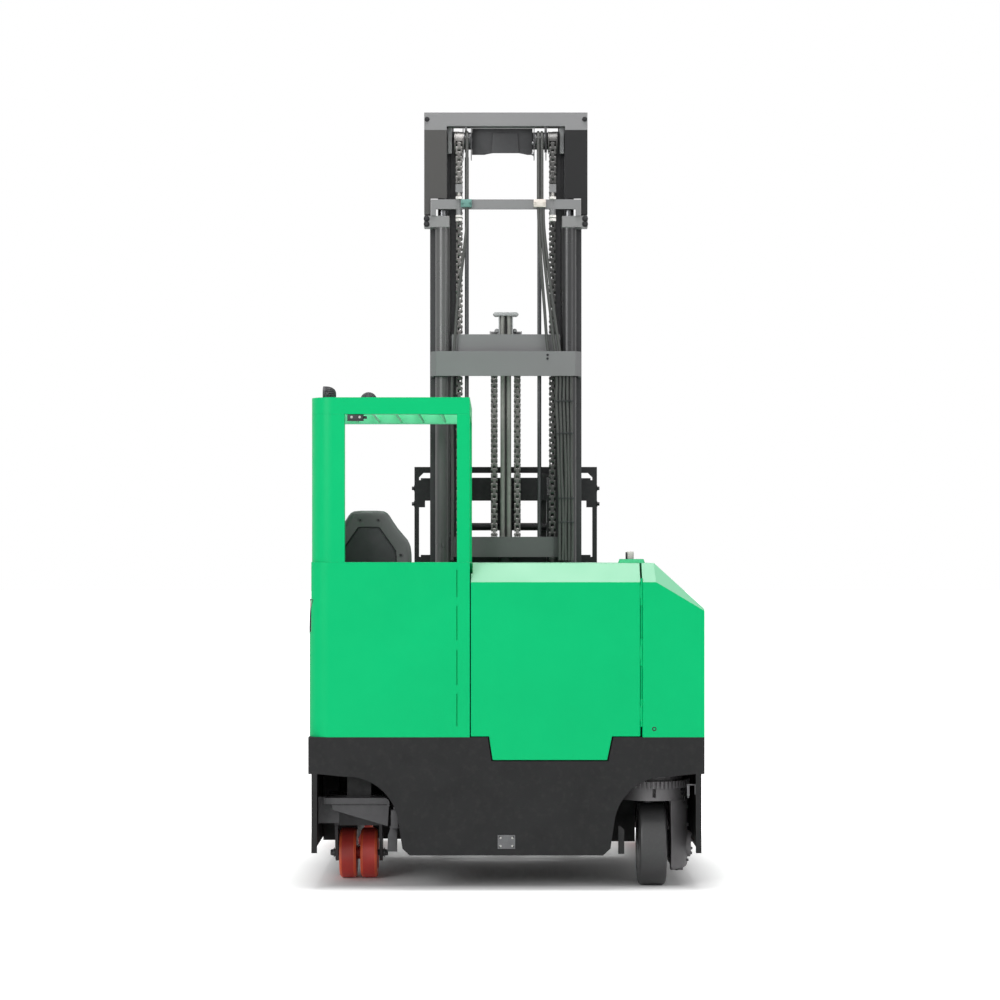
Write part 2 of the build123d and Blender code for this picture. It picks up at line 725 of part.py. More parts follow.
# Seat: pedestal, cushion and a back with a tapered shell
with BuildPart() as seat_base:
    with BuildSketch(Plane.XY.offset(deck_z)):
        with Locations((seat_x, rear_y + seat_rear + seat_shell + cushion_depth / 2)):
            RectangleRounded(seat_width * 0.85, cushion_depth * 0.9, 30)
    extrude(amount=cushion_low_z - 60 - deck_z)
    with BuildSketch(Plane.XY.offset(cushion_low_z - 60)):
        with Locations((seat_x, rear_y + seat_rear + seat_shell + cushion_depth / 2)):
            RectangleRounded(seat_width, cushion_depth, 20)
    extrude(amount=60)
    block(seat_x - seat_width / 4, seat_x + seat_width / 4, seat_rear, seat_rear + seat_shell + 10,
          cushion_low_z - 60, cushion_low_z)
seat_base.part.label = "seat_base"
export_step(seat_base.part, "parts/seat_base.step")

with BuildPart() as seat_cushion:
    with BuildSketch(Plane.XY.offset(cushion_low_z + seat_gap)):
        with Locations((seat_x, rear_y + seat_rear + seat_shell + back_pad + cushion_depth / 2)):
            RectangleRounded(seat_width + 20, cushion_depth, 60)
    extrude(amount=cushion_high_z - cushion_low_z)
    fillet(seat_cushion.edges().group_by(Axis.Z)[-1], radius=35)
seat_cushion.part.label = "seat_cushion"
export_step(seat_cushion.part, "parts/seat_cushion.step")

back_half = seat_width / 2


def back_outline(inset, low_z, corner):
    """The back's outline seen from behind, drawn in from the shell's edge."""
    high_z = seat_back_top_z - inset
    top_half = back_top_half - inset * 0.4
    shoulder_z = seat_back_top_z - back_shoulder - inset * 0.55
    Polygon((seat_x - back_half + inset, low_z), (seat_x - back_half + inset, shoulder_z - corner),
            (seat_x - back_half + inset + 15, shoulder_z), (seat_x - top_half, high_z),
            (seat_x + top_half, high_z), (seat_x + back_half - inset - 15, shoulder_z),
            (seat_x + back_half - inset, shoulder_z - corner), (seat_x + back_half - inset, low_z),
            align=None)


with BuildPart() as seat_back:
    with BuildSketch(rear_plane(seat_rear)) as back_shell:
        back_outline(0, cushion_low_z + seat_gap, 55)
        fillet(back_shell.vertices().group_by(Axis.Y)[1:], radius=30)
    extrude(amount=-seat_shell)
    chamfer(seat_back.faces().sort_by(Axis.Y)[0].edges(), length=12)
    with BuildSketch(rear_plane(seat_rear)):
        back_outline(panel_inset, cushion_high_z, 25)
    extrude(amount=-back_panel, mode=Mode.SUBTRACT)
    with BuildSketch(rear_plane(seat_rear + seat_shell)) as back_cushion:
        back_outline(25, cushion_high_z + 5, 45)
        fillet(back_cushion.vertices(), radius=30)
    extrude(amount=-back_pad, taper=12)
seat_back.part.label = "seat_back"
export_step(seat_back.part, "parts/seat_back.step")

# Console with an armrest and a control lever
with BuildPart() as console:
    block(console_left_x, console_right_x, console_rear, console_front, deck_z, console_top_z)
    with BuildSketch(Plane.XY.offset(console_top_z)):
        with Locations(((console_left_x + console_right_x) / 2,
                        rear_y + console_rear + armrest_long / 2 + 5)):
            RectangleRounded(armrest_wide, armrest_long, 35)
    extrude(amount=55)
    lever_depth = console_rear + lever_ahead
    upright((console_left_x + console_right_x) / 2, lever_depth, console_top_z, console_top_z + 90, 18)
    with BuildSketch(Plane.XY.offset(console_top_z + 90)):
        with Locations(((console_left_x + console_right_x) / 2, rear_y + lever_depth)):
            Ellipse(22, 30)
    extrude(amount=60)
    fillet(console.edges().group_by(Axis.Z)[-1], radius=10)
console.part.label = "console"
export_step(console.part, "parts/console.step")

# Steering wheel on a short column that stands on the floor
wheel_y = rear_y + wheel_depth
with BuildPart() as steering_wheel:
    with BuildSketch(Plane.XZ.offset(-wheel_y)):
        with Locations((seat_x + wheel_ring_dia / 2, wheel_ring_z)):
            Circle(12)
    revolve(axis=Axis((seat_x, wheel_y, 0), (0, 0, 1)))
    block(seat_x - wheel_ring_dia / 2, seat_x + wheel_ring_dia / 2, wheel_depth - 15, wheel_depth + 15,
          wheel_ring_z - 6, wheel_ring_z + 6)
    upright(seat_x, wheel_depth, wheel_ring_z - 30, wheel_ring_z + 14, 80)
    upright(seat_x, wheel_depth, deck_z, wheel_ring_z - 30, 60)
steering_wheel.part.label = "steering_wheel"
export_step(steering_wheel.part, "parts/steering_wheel.step")

# Pedals on the floor, either side of the column
with BuildPart() as pedals:
    for pedal_x in (seat_x - 110, seat_x + 110):
        with BuildSketch(Plane.YZ.offset(pedal_x - 40)):
            with BuildLine():
                Polyline((wheel_y - 140, deck_z), (wheel_y - 20, deck_z + 75), (wheel_y - 20, deck_z + 60),
                         (wheel_y - 60, deck_z), (wheel_y - 140, deck_z))
            make_face()
        extrude(amount=80)
pedals.part.label = "pedals"
export_step(pedals.part, "parts/pedals.step")

# Release handle on the hood: a raised foot and a short knob
with BuildPart() as deck_handle:
    with BuildSketch(Plane.XY.offset(hood_z)):
        with Locations((handle_x + 6, rear_y + handle_depth)):
            RectangleRounded(120, 80, 20)
    extrude(amount=18, taper=20)
    upright(handle_x, handle_depth, hood_z + 10, hood_z + handle_height, handle_dia)
    fillet(deck_handle.edges().group_by(Axis.Z)[-1], radius=6)
deck_handle.part.label = "deck_handle"
export_step(deck_handle.part, "parts/deck_handle.step")

# Work lamps on the guard: ribbed drums on a small foot, and the box under the guard's rear beam
lamp_places = (
    # x, depth, points to the side
    (cab_upper_x + 49, 450, True),
    (cab_upper_x + 213, guard_depth - guard_beam / 2, False),
)
with BuildPart() as work_lamps:
    for lamp_x, lamp_depth, sideways in lamp_places:
        upright(lamp_x, lamp_depth, guard_top_z, guard_top_z + lamp_foot, 36)
        across = (0, 1, 0) if sideways else (1, 0, 0)
        along = (1, 0, 0) if sideways else (0, -1, 0)
        lamp_frame = Plane((lamp_x, rear_y + lamp_depth, guard_top_z + lamp_foot - 2), x_dir=across,
                           z_dir=along)
        # grow, rear end, front end of the drum and of its ribs
        slices = [(0, -lamp_long / 2, lamp_long / 2)]
        for rib in range(lamp_ribs):
            rib_end = lamp_long / 2 - lamp_rib_pitch * (rib + 0.5)
            slices.append((5, rib_end - 5, rib_end))
        for grow, rear_end, front_end in slices:
            half = lamp_dia / 2 - 5 + grow
            with BuildSketch(lamp_frame.offset(rear_end)):
                with BuildLine():
                    Polyline((-half, half * 0.6), (-half, 0), (half, 0), (half, half * 0.6))
                    ThreePointArc((half, half * 0.6), (0, half * 1.6), (-half, half * 0.6))
                make_face()
            extrude(amount=front_end - rear_end)
    block(guard_box_x, guard_box_x + guard_box_wide, 4, 4 + guard_box_deep, guard_low_z - guard_box_high,
          guard_low_z)
work_lamps.part.label = "work_lamps"
export_step(work_lamps.part, "parts/work_lamps.step")

# Castor: slewing plate, neck, two cheeks and the axle
castor_half = castor_split / 2 + castor_width
castor_axle_y = rear_y + castor_depth + castor_trail
castor_axle_z = castor_dia / 2
with BuildPart() as castor_fork:
    upright(castor_x, castor_depth, castor_plate_low_z, castor_plate_high_z, castor_plate_dia)
    for side in (-1, 1):
        with BuildSketch(Plane.YZ.offset(castor_x + side * (castor_half + cheek_gap + cheek_plate / 2))):
            with BuildLine():
                Polyline((castor_axle_y - 100, castor_plate_low_z), (castor_axle_y + 60, castor_plate_low_z),
                         (castor_axle_y + 38, castor_axle_z))
                ThreePointArc((castor_axle_y + 38, castor_axle_z), (castor_axle_y, castor_axle_z - 38),
                              (castor_axle_y - 38, castor_axle_z))
                Line((castor_axle_y - 38, castor_axle_z), (castor_axle_y - 100, castor_plate_low_z))
            make_face()
        extrude(amount=cheek_plate / 2, both=True)
    cheek_out = castor_half + cheek_gap + cheek_plate
    block(castor_x - cheek_out, castor_x + cheek_out, castor_depth + castor_trail - 90,
          castor_depth + castor_trail + 50, castor_dia + cheek_gap + 12, castor_plate_low_z)
    crosswise(castor_x - cheek_out - 16, castor_x + cheek_out + 16, castor_depth + castor_trail,
              castor_axle_z, castor_axle_dia)
castor_fork.part.label = "castor_fork"
export_step(castor_fork.part, "parts/castor_fork.step")

with BuildPart() as castor_wheels:
    for side in (-1, 1):
        with BuildSketch(Plane.XZ.offset(-castor_axle_y)):
            with BuildLine():
                x_in = castor_x + side * castor_split / 2
                x_out = castor_x + side * castor_half
                soft = side * 10
                Polyline((x_in, castor_axle_z + castor_axle_dia / 2 + seat_gap), (x_in, castor_dia - 10),
                         (x_in + soft, castor_dia), (x_out - soft, castor_dia), (x_out, castor_dia - 10),
                         (x_out, castor_axle_z + 80), (x_out - soft, castor_axle_z + 76),
                         (x_out - soft, castor_axle_z + 40), (x_out, castor_axle_z + 36),
                         (x_out, castor_axle_z + castor_axle_dia / 2 + seat_gap),
                         (x_in, castor_axle_z + castor_axle_dia / 2 + seat_gap))
            make_face()
        revolve(axis=Axis((castor_x, castor_axle_y, castor_axle_z), (1, 0, 0)))
    # Distance sleeve that joins the two wheels
    crosswise(castor_x - castor_split / 2, castor_x + castor_split / 2, castor_depth + castor_trail,
              castor_axle_z, castor_axle_dia + 30)
    crosswise(castor_x - castor_split / 2, castor_x + castor_split / 2, castor_depth + castor_trail,
              castor_axle_z, castor_axle_dia + 2 * seat_gap, Mode.SUBTRACT)
castor_wheels.part.label = "castor_wheels"
export_step(castor_wheels.part, "parts/castor_wheels.step")

# Drive unit: toothed slewing ring, casting and the gearbox beside the wheel
drive_y = rear_y + drive_depth
drive_axle_z = drive_dia / 2
with BuildPart() as drive_casting:
    upright(drive_x, drive_depth, ring_low_z, ring_high_z, ring_dia - 2 * tooth_height)
    with BuildSketch(Plane.XY.offset(ring_low_z)):
        with Locations((drive_x, drive_y)):
            with PolarLocations(ring_dia / 2 - tooth_height * 0.6, ring_teeth):
                Rectangle(tooth_height * 1.2, pi * ring_dia / ring_teeth / 2)
    extrude(amount=ring_high_z - ring_low_z)
    with BuildSketch(Plane.XY.offset(casting_low_z)):
        with Locations((drive_x, drive_y)):
            Circle(casting_dia / 2)
    extrude(amount=ring_low_z - casting_low_z)
    # Gearbox, round the wheel's side and within the swing of the ring
    with BuildSketch(Plane.XY.offset(gearbox_low_z)) as gearbox_plan:
        with Locations((drive_x, drive_y)):
            Circle(gearbox_outer)
        with Locations((drive_x + gearbox_inner, drive_y)):
            Rectangle(3 * gearbox_outer, 3 * gearbox_outer, align=(Align.MAX, Align.CENTER),
                      mode=Mode.SUBTRACT)
    extrude(amount=casting_low_z - gearbox_low_z)
    fillet(drive_casting.edges().group_by(Axis.Z)[0], radius=20)
    with BuildSketch(rear_plane(drive_depth - casting_dia / 4)) as corner:
        with Locations((drive_x + gearbox_inner - gearbox_corner, casting_low_z - gearbox_corner)):
            Rectangle(gearbox_corner + 2, gearbox_corner + 2, align=Align.MIN)
            Circle(gearbox_corner, mode=Mode.SUBTRACT)
    extrude(amount=-casting_dia / 2)
    block(drive_x - casting_slot / 4, drive_x + casting_slot * 3 / 4, drive_depth - casting_dia / 2,
          drive_depth - casting_dia / 2 + casting_slot_deep, casting_low_z + casting_slot, ring_low_z,
          Mode.SUBTRACT)
    block(drive_x + gearbox_inner + 5, drive_x + gearbox_inner + 5 + drain_lug, drive_depth - drain_lug / 2,
          drive_depth + drain_lug / 2, gearbox_low_z - drain_lug / 4, gearbox_low_z + drain_lug / 2)
    crosswise(drive_x + gearbox_inner, drive_x + gearbox_outer + 12, drive_depth, drive_axle_z, 120)
drive_casting.part.label = "drive_casting"
export_step(drive_casting.part, "parts/drive_casting.step")

# Drive wheel: solid tyre on a dished hub
with BuildPart() as drive_wheel:
    with BuildSketch(Plane.XZ.offset(-drive_y)):
        with BuildLine():
            half = drive_width / 2
            Polyline((drive_x - half, drive_axle_z), (drive_x - half + 30, drive_axle_z),
                     (drive_x - half + 30, drive_axle_z + 60), (drive_x - half + 8, drive_axle_z + 75),
                     (drive_x - half, drive_axle_z + 125))
            Line((drive_x - half, drive_axle_z + 125), (drive_x - half, drive_dia - 14))
            ThreePointArc((drive_x - half, drive_dia - 14), (drive_x - half + 4, drive_dia - 4),
                          (drive_x - half + 14, drive_dia))
            Line((drive_x - half + 14, drive_dia), (drive_x + half - 14, drive_dia))
            ThreePointArc((drive_x + half - 14, drive_dia), (drive_x + half - 4, drive_dia - 4),
                          (drive_x + half, drive_dia - 14))
            Polyline((drive_x + half, drive_dia - 14), (drive_x + half, drive_axle_z + 70),
                     (drive_x + half + hub_stand - seat_gap, drive_axle_z + 60),
                     (drive_x + half + hub_stand - seat_gap, drive_axle_z), (drive_x - half, drive_axle_z))
        make_face()
    revolve(axis=Axis((drive_x, drive_y, drive_axle_z), (1, 0, 0)))
drive_wheel.part.label = "drive_wheel"
export_step(drive_wheel.part, "parts/drive_wheel.step")

# Load wheels and their steered forks, one of each under each leg tip
load_y = rear_y + load_wheel_depth
load_axle_z = load_wheel_dia / 2
for side, name in ((-1, "left"), (1, "right")):
    fork_x = side * load_x
    cheek_in = load_wheel_width / 2 + cheek_gap
    with BuildPart() as load_fork:
        upright(fork_x, load_wheel_depth, load_plate_low_z, leg_top_z - tip_plate - seat_gap,
                2 * load_swing)
        with BuildSketch(Plane.YZ.offset(fork_x)):
            with BuildLine():
                Polyline((load_y - load_swing * 0.7, load_plate_low_z),
                         (load_y + load_swing * 0.7, load_plate_low_z), (load_y + 36, load_axle_z))
                ThreePointArc((load_y + 36, load_axle_z), (load_y, load_axle_z - 36),
                              (load_y - 36, load_axle_z))
                Line((load_y - 36, load_axle_z), (load_y - load_swing * 0.7, load_plate_low_z))
            make_face()
        extrude(amount=cheek_in + cheek_plate, both=True)
        block(fork_x - cheek_in, fork_x + cheek_in, load_wheel_depth - load_swing,
              load_wheel_depth + load_swing, 0, load_wheel_dia + cheek_gap, Mode.SUBTRACT)
        crosswise(fork_x - cheek_in - cheek_plate - 8, fork_x + cheek_in + cheek_plate + 8,
                  load_wheel_depth, load_axle_z, load_axle_dia)
    load_fork.part.label = name + "_load_fork"
    export_step(load_fork.part, "parts/" + name + "_load_fork.step")

    with BuildPart() as load_wheel:
        with BuildSketch(Plane.XZ.offset(-load_y)):
            with BuildLine():
                half = load_wheel_width / 2
                bore = load_axle_z + load_axle_dia / 2 + seat_gap
                Polyline((fork_x - half, bore), (fork_x - half, load_axle_z + 40),
                         (fork_x - half + 10, load_axle_z + 45), (fork_x - half + 10, load_axle_z + 80),
                         (fork_x - half, load_axle_z + 85), (fork_x - half, load_wheel_dia - 12),
                         (fork_x - half + 12, load_wheel_dia), (fork_x + half - 12, load_wheel_dia),
                         (fork_x + half, load_wheel_dia - 12), (fork_x + half, load_axle_z + 85),
                         (fork_x + half - 10, load_axle_z + 80), (fork_x + half - 10, load_axle_z + 45),
                         (fork_x + half, load_axle_z + 40), (fork_x + half, bore), (fork_x - half, bore))
            make_face()
        revolve(axis=Axis((fork_x, load_y, load_axle_z), (1, 0, 0)))
    load_wheel.part.label = name + "_load_wheel"
    export_step(load_wheel.part, "parts/" + name + "_load_wheel.step")

# Reach frame: two arms on rollers, a cross tie and the feet that hold the mast
roller_z = (channel_low_z + channel_high_z) / 2
with BuildPart() as reach_frame:
    pair(arm_inner_x, arm_outer_x, arm_rear, arm_front, arm_low_z, arm_high_z)
    block(-arm_inner_x, arm_inner_x, reach_tie_rear, reach_tie_front, reach_tie_low_z, reach_tie_high_z)
    pair(outer_x, arm_inner_x, reach_tie_front, arm_front, arm_low_z - 60, arm_high_z)
    for side in (-1, 1):
        for depth in (roller_rear, roller_front):
            roller_in = side * (leg_inner_x + moving_gap)
            roller_out = side * (leg_inner_x + moving_gap + reach_roller_width)
            crosswise(min(roller_in, roller_out), max(roller_in, roller_out), depth, roller_z,
                      reach_roller_dia)
            axle_in = side * arm_inner_x
            crosswise(min(axle_in, roller_in), max(axle_in, roller_in), depth, roller_z, 60)
    # Rod of the reach cylinder
    lengthwise(0, tunnel_depth + reach_bore_low + reach_piston_gap, reach_tie_rear, reach_z, reach_rod_dia)
reach_frame.part.label = "reach_frame"
export_step(reach_frame.part, "parts/reach_frame.step")


def channels(outer, inner, low_z, top_z):
    """A right and a left mast channel, their open sides towards the middle."""
    with BuildSketch(Plane.XY.offset(low_z)) as section:
        with BuildLine():
            rear = rear_y + mast_rear
            front = rear + mast_depth
            Polyline((inner, rear), (outer, rear), (outer, front), (inner, front),
                     (inner, front - channel_flange), (outer - channel_web, front - channel_flange),
                     (outer - channel_web, rear + channel_flange), (inner, rear + channel_flange),
                     (inner, rear))
        make_face()
        mirror(about=Plane.YZ)
    extrude(section.sketch, amount=top_z - low_z)


def guide_rollers(outer, heights):
    """Rollers on the outer side of a channel, which run inside the next channel out."""
    roller_dia = mast_depth - 2 * channel_flange - 2 * seat_gap
    for side in (-1, 1):
        for height in heights:
            x0 = side * outer
            x1 = side * (outer + roller_reach)
            crosswise(min(x0, x1), max(x0, x1), mast_rear + mast_depth / 2, height, roller_dia)


# The three pairs of mast channels, each running inside the one before
with BuildPart() as outer_mast_channels:
    channels(outer_x, outer_inner_x, outer_low_z, outer_top_z)
outer_mast_channels.part.label = "outer_mast_channels"
export_step(outer_mast_channels.part, "parts/outer_mast_channels.step")

with BuildPart() as middle_mast_channels:
    channels(middle_x, middle_inner_x, middle_low_z, head_low_z)
    guide_rollers(middle_x, [middle_low_z + height for height in roller_heights])
middle_mast_channels.part.label = "middle_mast_channels"
export_step(middle_mast_channels.part, "parts/middle_mast_channels.step")

with BuildPart() as inner_mast_channels:
    channels(inner_x, inner_inner_x, inner_low_z, inner_top_z)
    guide_rollers(inner_x, [inner_low_z + height for height in roller_heights])
    # Lugs at the foot that take the outer chains
    pair(outer_chain_x - chain_width / 2, inner_x, chain_lug_rear, mast_rear, inner_low_z, chain_lug_z)
inner_mast_channels.part.label = "inner_mast_channels"
export_step(inner_mast_channels.part, "parts/inner_mast_channels.step")

# Cross members of the outer mast: a bent plate round the lift cylinders and a low tie
with BuildPart() as outer_cross_members:
    with BuildSketch(Plane.XY.offset(main_member_low_z)):
        with BuildLine():
            rear = rear_y + main_member_rear
            Polyline((0, rear), (outer_x - member_bend, rear), (outer_x - 5, rear + member_bend),
                     (outer_x - 5, rear_y + mast_rear), (outer_x - 5 - main_member_plate, rear_y + mast_rear),
                     (outer_x - 5 - main_member_plate, rear + member_bend + 6),
                     (outer_x - member_bend - 6, rear + main_member_plate), (0, rear + main_member_plate),
                     (0, rear))
        make_face()
        mirror(about=Plane.YZ)
    extrude(amount=main_member_high_z - main_member_low_z)
    block(-outer_x, outer_x, reach_tie_front, reach_tie_front + low_tie_plate, outer_low_z, reach_tie_high_z)
    pair(outer_x - 24, outer_x, reach_tie_front + low_tie_plate, mast_rear, outer_low_z, reach_tie_high_z)
    pair(lift_x - lift_barrel_dia / 2, outer_x - 24, reach_tie_front + low_tie_plate,
         lift_depth + lift_barrel_dia / 2, outer_low_z, lift_low_z)
outer_cross_members.part.label = "outer_cross_members"
export_step(outer_cross_members.part, "parts/outer_cross_members.step")

# Lift cylinders: hollow barrels on feet, clamped to the outer mast at their tops
with BuildPart() as lift_barrels:
    for side in (-1, 1):
        upright(side * lift_x, lift_depth, lift_low_z, clamp_top_z, lift_barrel_dia)
        upright(side * lift_x, lift_depth, lift_low_z + lift_bore_low, clamp_top_z, lift_rod_dia + 1,
                Mode.SUBTRACT)
    pair(clamp_inner_x, clamp_outer_x, clamp_rear, clamp_front, outer_top_z, clamp_top_z)
    pair(outer_inner_x, outer_x, clamp_front, mast_rear + 30, outer_top_z, clamp_top_z)
    for side in (-1, 1):
        upright(side * lift_x, lift_depth, outer_top_z, clamp_top_z, lift_rod_dia + 1, Mode.SUBTRACT)
lift_barrels.part.label = "lift_barrels"
export_step(lift_barrels.part, "parts/lift_barrels.step")

# Anchor bar of the outer chains on two posts, with the threaded chain ends
with BuildPart() as chain_anchor_bar:
    block(-anchor_half, anchor_half, anchor_rear, anchor_front, anchor_low_z, anchor_high_z)
    pair(anchor_half - 25, anchor_half, anchor_rear, anchor_front, clamp_top_z, anchor_low_z)
    for side in (-1, 1):
        upright(side * outer_chain_x, outer_chain_rear, anchor_low_z - 48, chain_end_z, 16)
        with BuildSketch(Plane.XY.offset(anchor_low_z - 40)):
            with Locations((side * outer_chain_x, rear_y + outer_chain_rear)):
                RegularPolygon(15, 6)
        extrude(amount=40)
        block(side * outer_chain_x - chain_width / 2, side * outer_chain_x + chain_width / 2,
              outer_chain_rear - 8, outer_chain_rear + 8, chain_end_z - 40, chain_end_z)
chain_anchor_bar.part.label = "chain_anchor_bar"
export_step(chain_anchor_bar.part, "parts/chain_anchor_bar.step")

# Head of the middle mast: cross bar on the channel tops, end strips, rear plates and sheave pins
head_sheave_dia = outer_chain_front - outer_chain_rear - chain_wide
head_sheave_depth = (outer_chain_rear + outer_chain_front) / 2
with BuildPart() as middle_mast_head:
    block(-head_half, head_half, head_rear, head_front, head_low_z, head_top_z)
    pair(middle_inner_x + 2, middle_x, head_front, mast_rear + 60, head_low_z, head_top_z)
    pair(head_strip_x, head_half, head_rear, head_front, head_strip_z, head_low_z)
    pair(head_plate_x, head_strip_x, head_plate_rear, head_plate_front, head_plate_z, head_low_z)
    for side in (-1, 1):
        x0 = side * (outer_chain_x - chain_width / 2 - 22)
        x1 = side * (outer_chain_x - chain_width / 2 - 10)
        block(min(x0, x1), max(x0, x1), head_sheave_depth - 20, head_sheave_depth + 20,
              head_sheave_z - 45, head_low_z)
        x2 = side * (outer_chain_x + chain_width / 2 + 8)
        crosswise(min(x0, x2), max(x0, x2), head_sheave_depth, head_sheave_z, 24)
middle_mast_head.part.label = "middle_mast_head"
export_step(middle_mast_head.part, "parts/middle_mast_head.step")


def hat_member(half, low_z, high_z):
    """A bent cross member of the middle mast, with returns and feet on the channels."""
    with BuildSketch(Plane.XY.offset(low_z)) as plan:
        with BuildLine():
            rear = rear_y + member_rear
            foot = rear_y + mast_rear
            Polyline((0, rear), (half, rear), (member_return + member_plate, rear + member_plate),
                     (member_return + member_plate, foot - 12), (middle_x, foot - 12), (middle_x, foot),
                     (middle_inner_x + 1, foot), (middle_inner_x + 1, foot - 5), (member_return, foot - 5),
                     (member_return, rear + member_plate + 10), (half - 8, rear + member_plate),
                     (0, rear + member_plate), (0, rear))
        make_face()
        mirror(about=Plane.YZ)
    extrude(plan.sketch, amount=high_z - low_z)


with BuildPart() as middle_cross_members:
    hat_member(upper_member_half, upper_member_low_z, upper_member_high_z)
    hat_member(upper_member_half, lower_member_low_z, lower_member_high_z)
middle_cross_members.part.label = "middle_cross_members"
export_step(middle_cross_members.part, "parts/middle_cross_members.step")

# Rods of the lift cylinders
with BuildPart() as lift_rods:
    for side in (-1, 1):
        upright(side * lift_x, lift_depth, lift_low_z + lift_bore_low + lift_piston_gap, head_low_z,
                lift_rod_dia)
lift_rods.part.label = "lift_rods"
export_step(lift_rods.part, "parts/lift_rods.step")

# Sheaves of the outer chains, with the stretch of chain that lies on them
with BuildPart() as head_sheaves:
    for side in (-1, 1):
        with BuildSketch(Plane.YZ.offset(side * outer_chain_x)):
            with Locations((rear_y + head_sheave_depth, head_sheave_z)):
                Circle(head_sheave_dia / 2)
                Circle(12 + seat_gap, mode=Mode.SUBTRACT)
        extrude(amount=chain_width / 2 + 1, both=True)
        for flange_x in (chain_width / 2 + 1, -chain_width / 2 - 1 - sheave_flange):
            with BuildSketch(Plane.YZ.offset(side * outer_chain_x + flange_x)):
                with Locations((rear_y + head_sheave_depth, head_sheave_z)):
                    Circle(head_sheave_dia / 2 + chain_wide + flange_out)
                    Circle(12 + seat_gap, mode=Mode.SUBTRACT)
            extrude(amount=sheave_flange)
        with BuildSketch(Plane.YZ.offset(side * outer_chain_x)):
            with Locations((rear_y + head_sheave_depth, head_sheave_z)):
                Circle(head_sheave_dia / 2 + chain_wide)
                Circle(head_sheave_dia / 2, mode=Mode.SUBTRACT)
            with Locations((rear_y + head_sheave_depth, head_sheave_z)):
                Rectangle(3 * head_sheave_dia, 2 * head_sheave_dia, align=(Align.CENTER, Align.MAX),
                          mode=Mode.SUBTRACT)
        extrude(amount=chain_width / 2, both=True)
head_sheaves.part.label = "head_sheaves"
export_step(head_sheaves.part, "parts/head_sheaves.step")

# Inner mast: ties at the head and the foot, between the channels' rear flanges
with BuildPart() as inner_cross_members:
    block(-inner_inner_x, inner_inner_x, mast_rear, mast_rear + inner_tie, inner_tie_low_z, inner_top_z - 4)
    block(-inner_inner_x, inner_inner_x, mast_rear, mast_rear + foot_tie, inner_low_z, inner_low_z + 130)
    block(-70, 70, mast_rear + foot_tie, free_depth + free_barrel_dia / 2, inner_low_z, free_low_z)
inner_cross_members.part.label = "inner_cross_members"
export_step(inner_cross_members.part, "parts/inner_cross_members.step")

# Free lift cylinder: hollow barrel with the collar that anchors the centre chains
centre_chain_rear_d = free_depth - sheave_pitch_dia / 2 + sheave_offset
centre_chain_front_d = free_depth + sheave_pitch_dia / 2 + sheave_offset
with BuildPart() as free_lift_barrel:
    upright(0, free_depth, free_low_z, free_top_z, free_barrel_dia)
    block(-centre_chain_x - chain_width / 2, centre_chain_x + chain_width / 2,
          centre_chain_rear_d - chain_wide / 2, free_depth, collar_low_z, collar_high_z)
    upright(0, free_depth, free_low_z + free_bore_low, free_top_z, free_rod_dia + 1, Mode.SUBTRACT)
free_lift_barrel.part.label = "free_lift_barrel"
export_step(free_lift_barrel.part, "parts/free_lift_barrel.step")

# Crosshead: rod, yoke, sheaves with their chain, and the plate that guides the hoses
with BuildPart() as crosshead:
    upright(0, free_depth, free_rod_low_z, sheave_axis_z - 30, free_rod_dia)
    block(-28, 28, free_depth - 30, free_depth + sheave_offset + 30, sheave_axis_z - 45, sheave_axis_z + 45)
    crosswise(-centre_chain_x - 24, centre_chain_x + 24, free_depth + sheave_offset, sheave_axis_z, 26)
    for side in (-1, 1):
        with BuildSketch(Plane.YZ.offset(side * centre_chain_x)):
            with Locations((rear_y + free_depth + sheave_offset, sheave_axis_z)):
                Circle(sheave_pitch_dia / 2 - chain_wide / 2)
        extrude(amount=chain_width / 2 + 1, both=True)
        for flange_x in (chain_width / 2 + 1, -chain_width / 2 - 1 - sheave_flange):
            with BuildSketch(Plane.YZ.offset(side * centre_chain_x + flange_x)):
                with Locations((rear_y + free_depth + sheave_offset, sheave_axis_z)):
                    Circle(sheave_pitch_dia / 2 + chain_wide / 2 + flange_out)
            extrude(amount=sheave_flange)
        with BuildSketch(Plane.YZ.offset(side * centre_chain_x)):
            with Locations((rear_y + free_depth + sheave_offset, sheave_axis_z)):
                Circle(sheave_pitch_dia / 2 + chain_wide / 2)
                Rectangle(3 * sheave_pitch_dia, 2 * sheave_pitch_dia, align=(Align.CENTER, Align.MAX),
                          mode=Mode.SUBTRACT)
        extrude(amount=chain_width / 2, both=True)
    with BuildSketch(rear_plane(free_depth - 12)):
        Polygon((-30, sheave_axis_z + 45), (-30, crosshead_z - 16), (-52, crosshead_z - 16),
                (-60, crosshead_z - 4), (-52, crosshead_z), (52, crosshead_z), (60, crosshead_z - 4),
                (52, crosshead_z - 16), (30, crosshead_z - 16), (30, sheave_axis_z + 45), align=None)
    extrude(amount=-24)
crosshead.part.label = "crosshead"
export_step(crosshead.part, "parts/crosshead.step")


def chain_run(x, depth, z0, z1):
    """A straight run of leaf chain: links of one width with a waist between each two."""
    links = max(1, round((z1 - z0) / chain_pitch))
    step = (z1 - z0) / links
    wide = chain_wide / 2
    waist = chain_waist / 2
    halves = [(waist if n % 2 == 0 else wide, z0 + n * step / 2) for n in range(2 * links + 1)]
    rear = [(rear_y + depth - half, z) for half, z in halves]
    front = [(rear_y + depth + half, z) for half, z in halves]
    with BuildSketch(Plane.YZ.offset(x - chain_width / 2)) as outline:
        with BuildLine():
            Polyline(*rear, *reversed(front), close=True)
        make_face()
    extrude(outline.sketch, amount=chain_width)


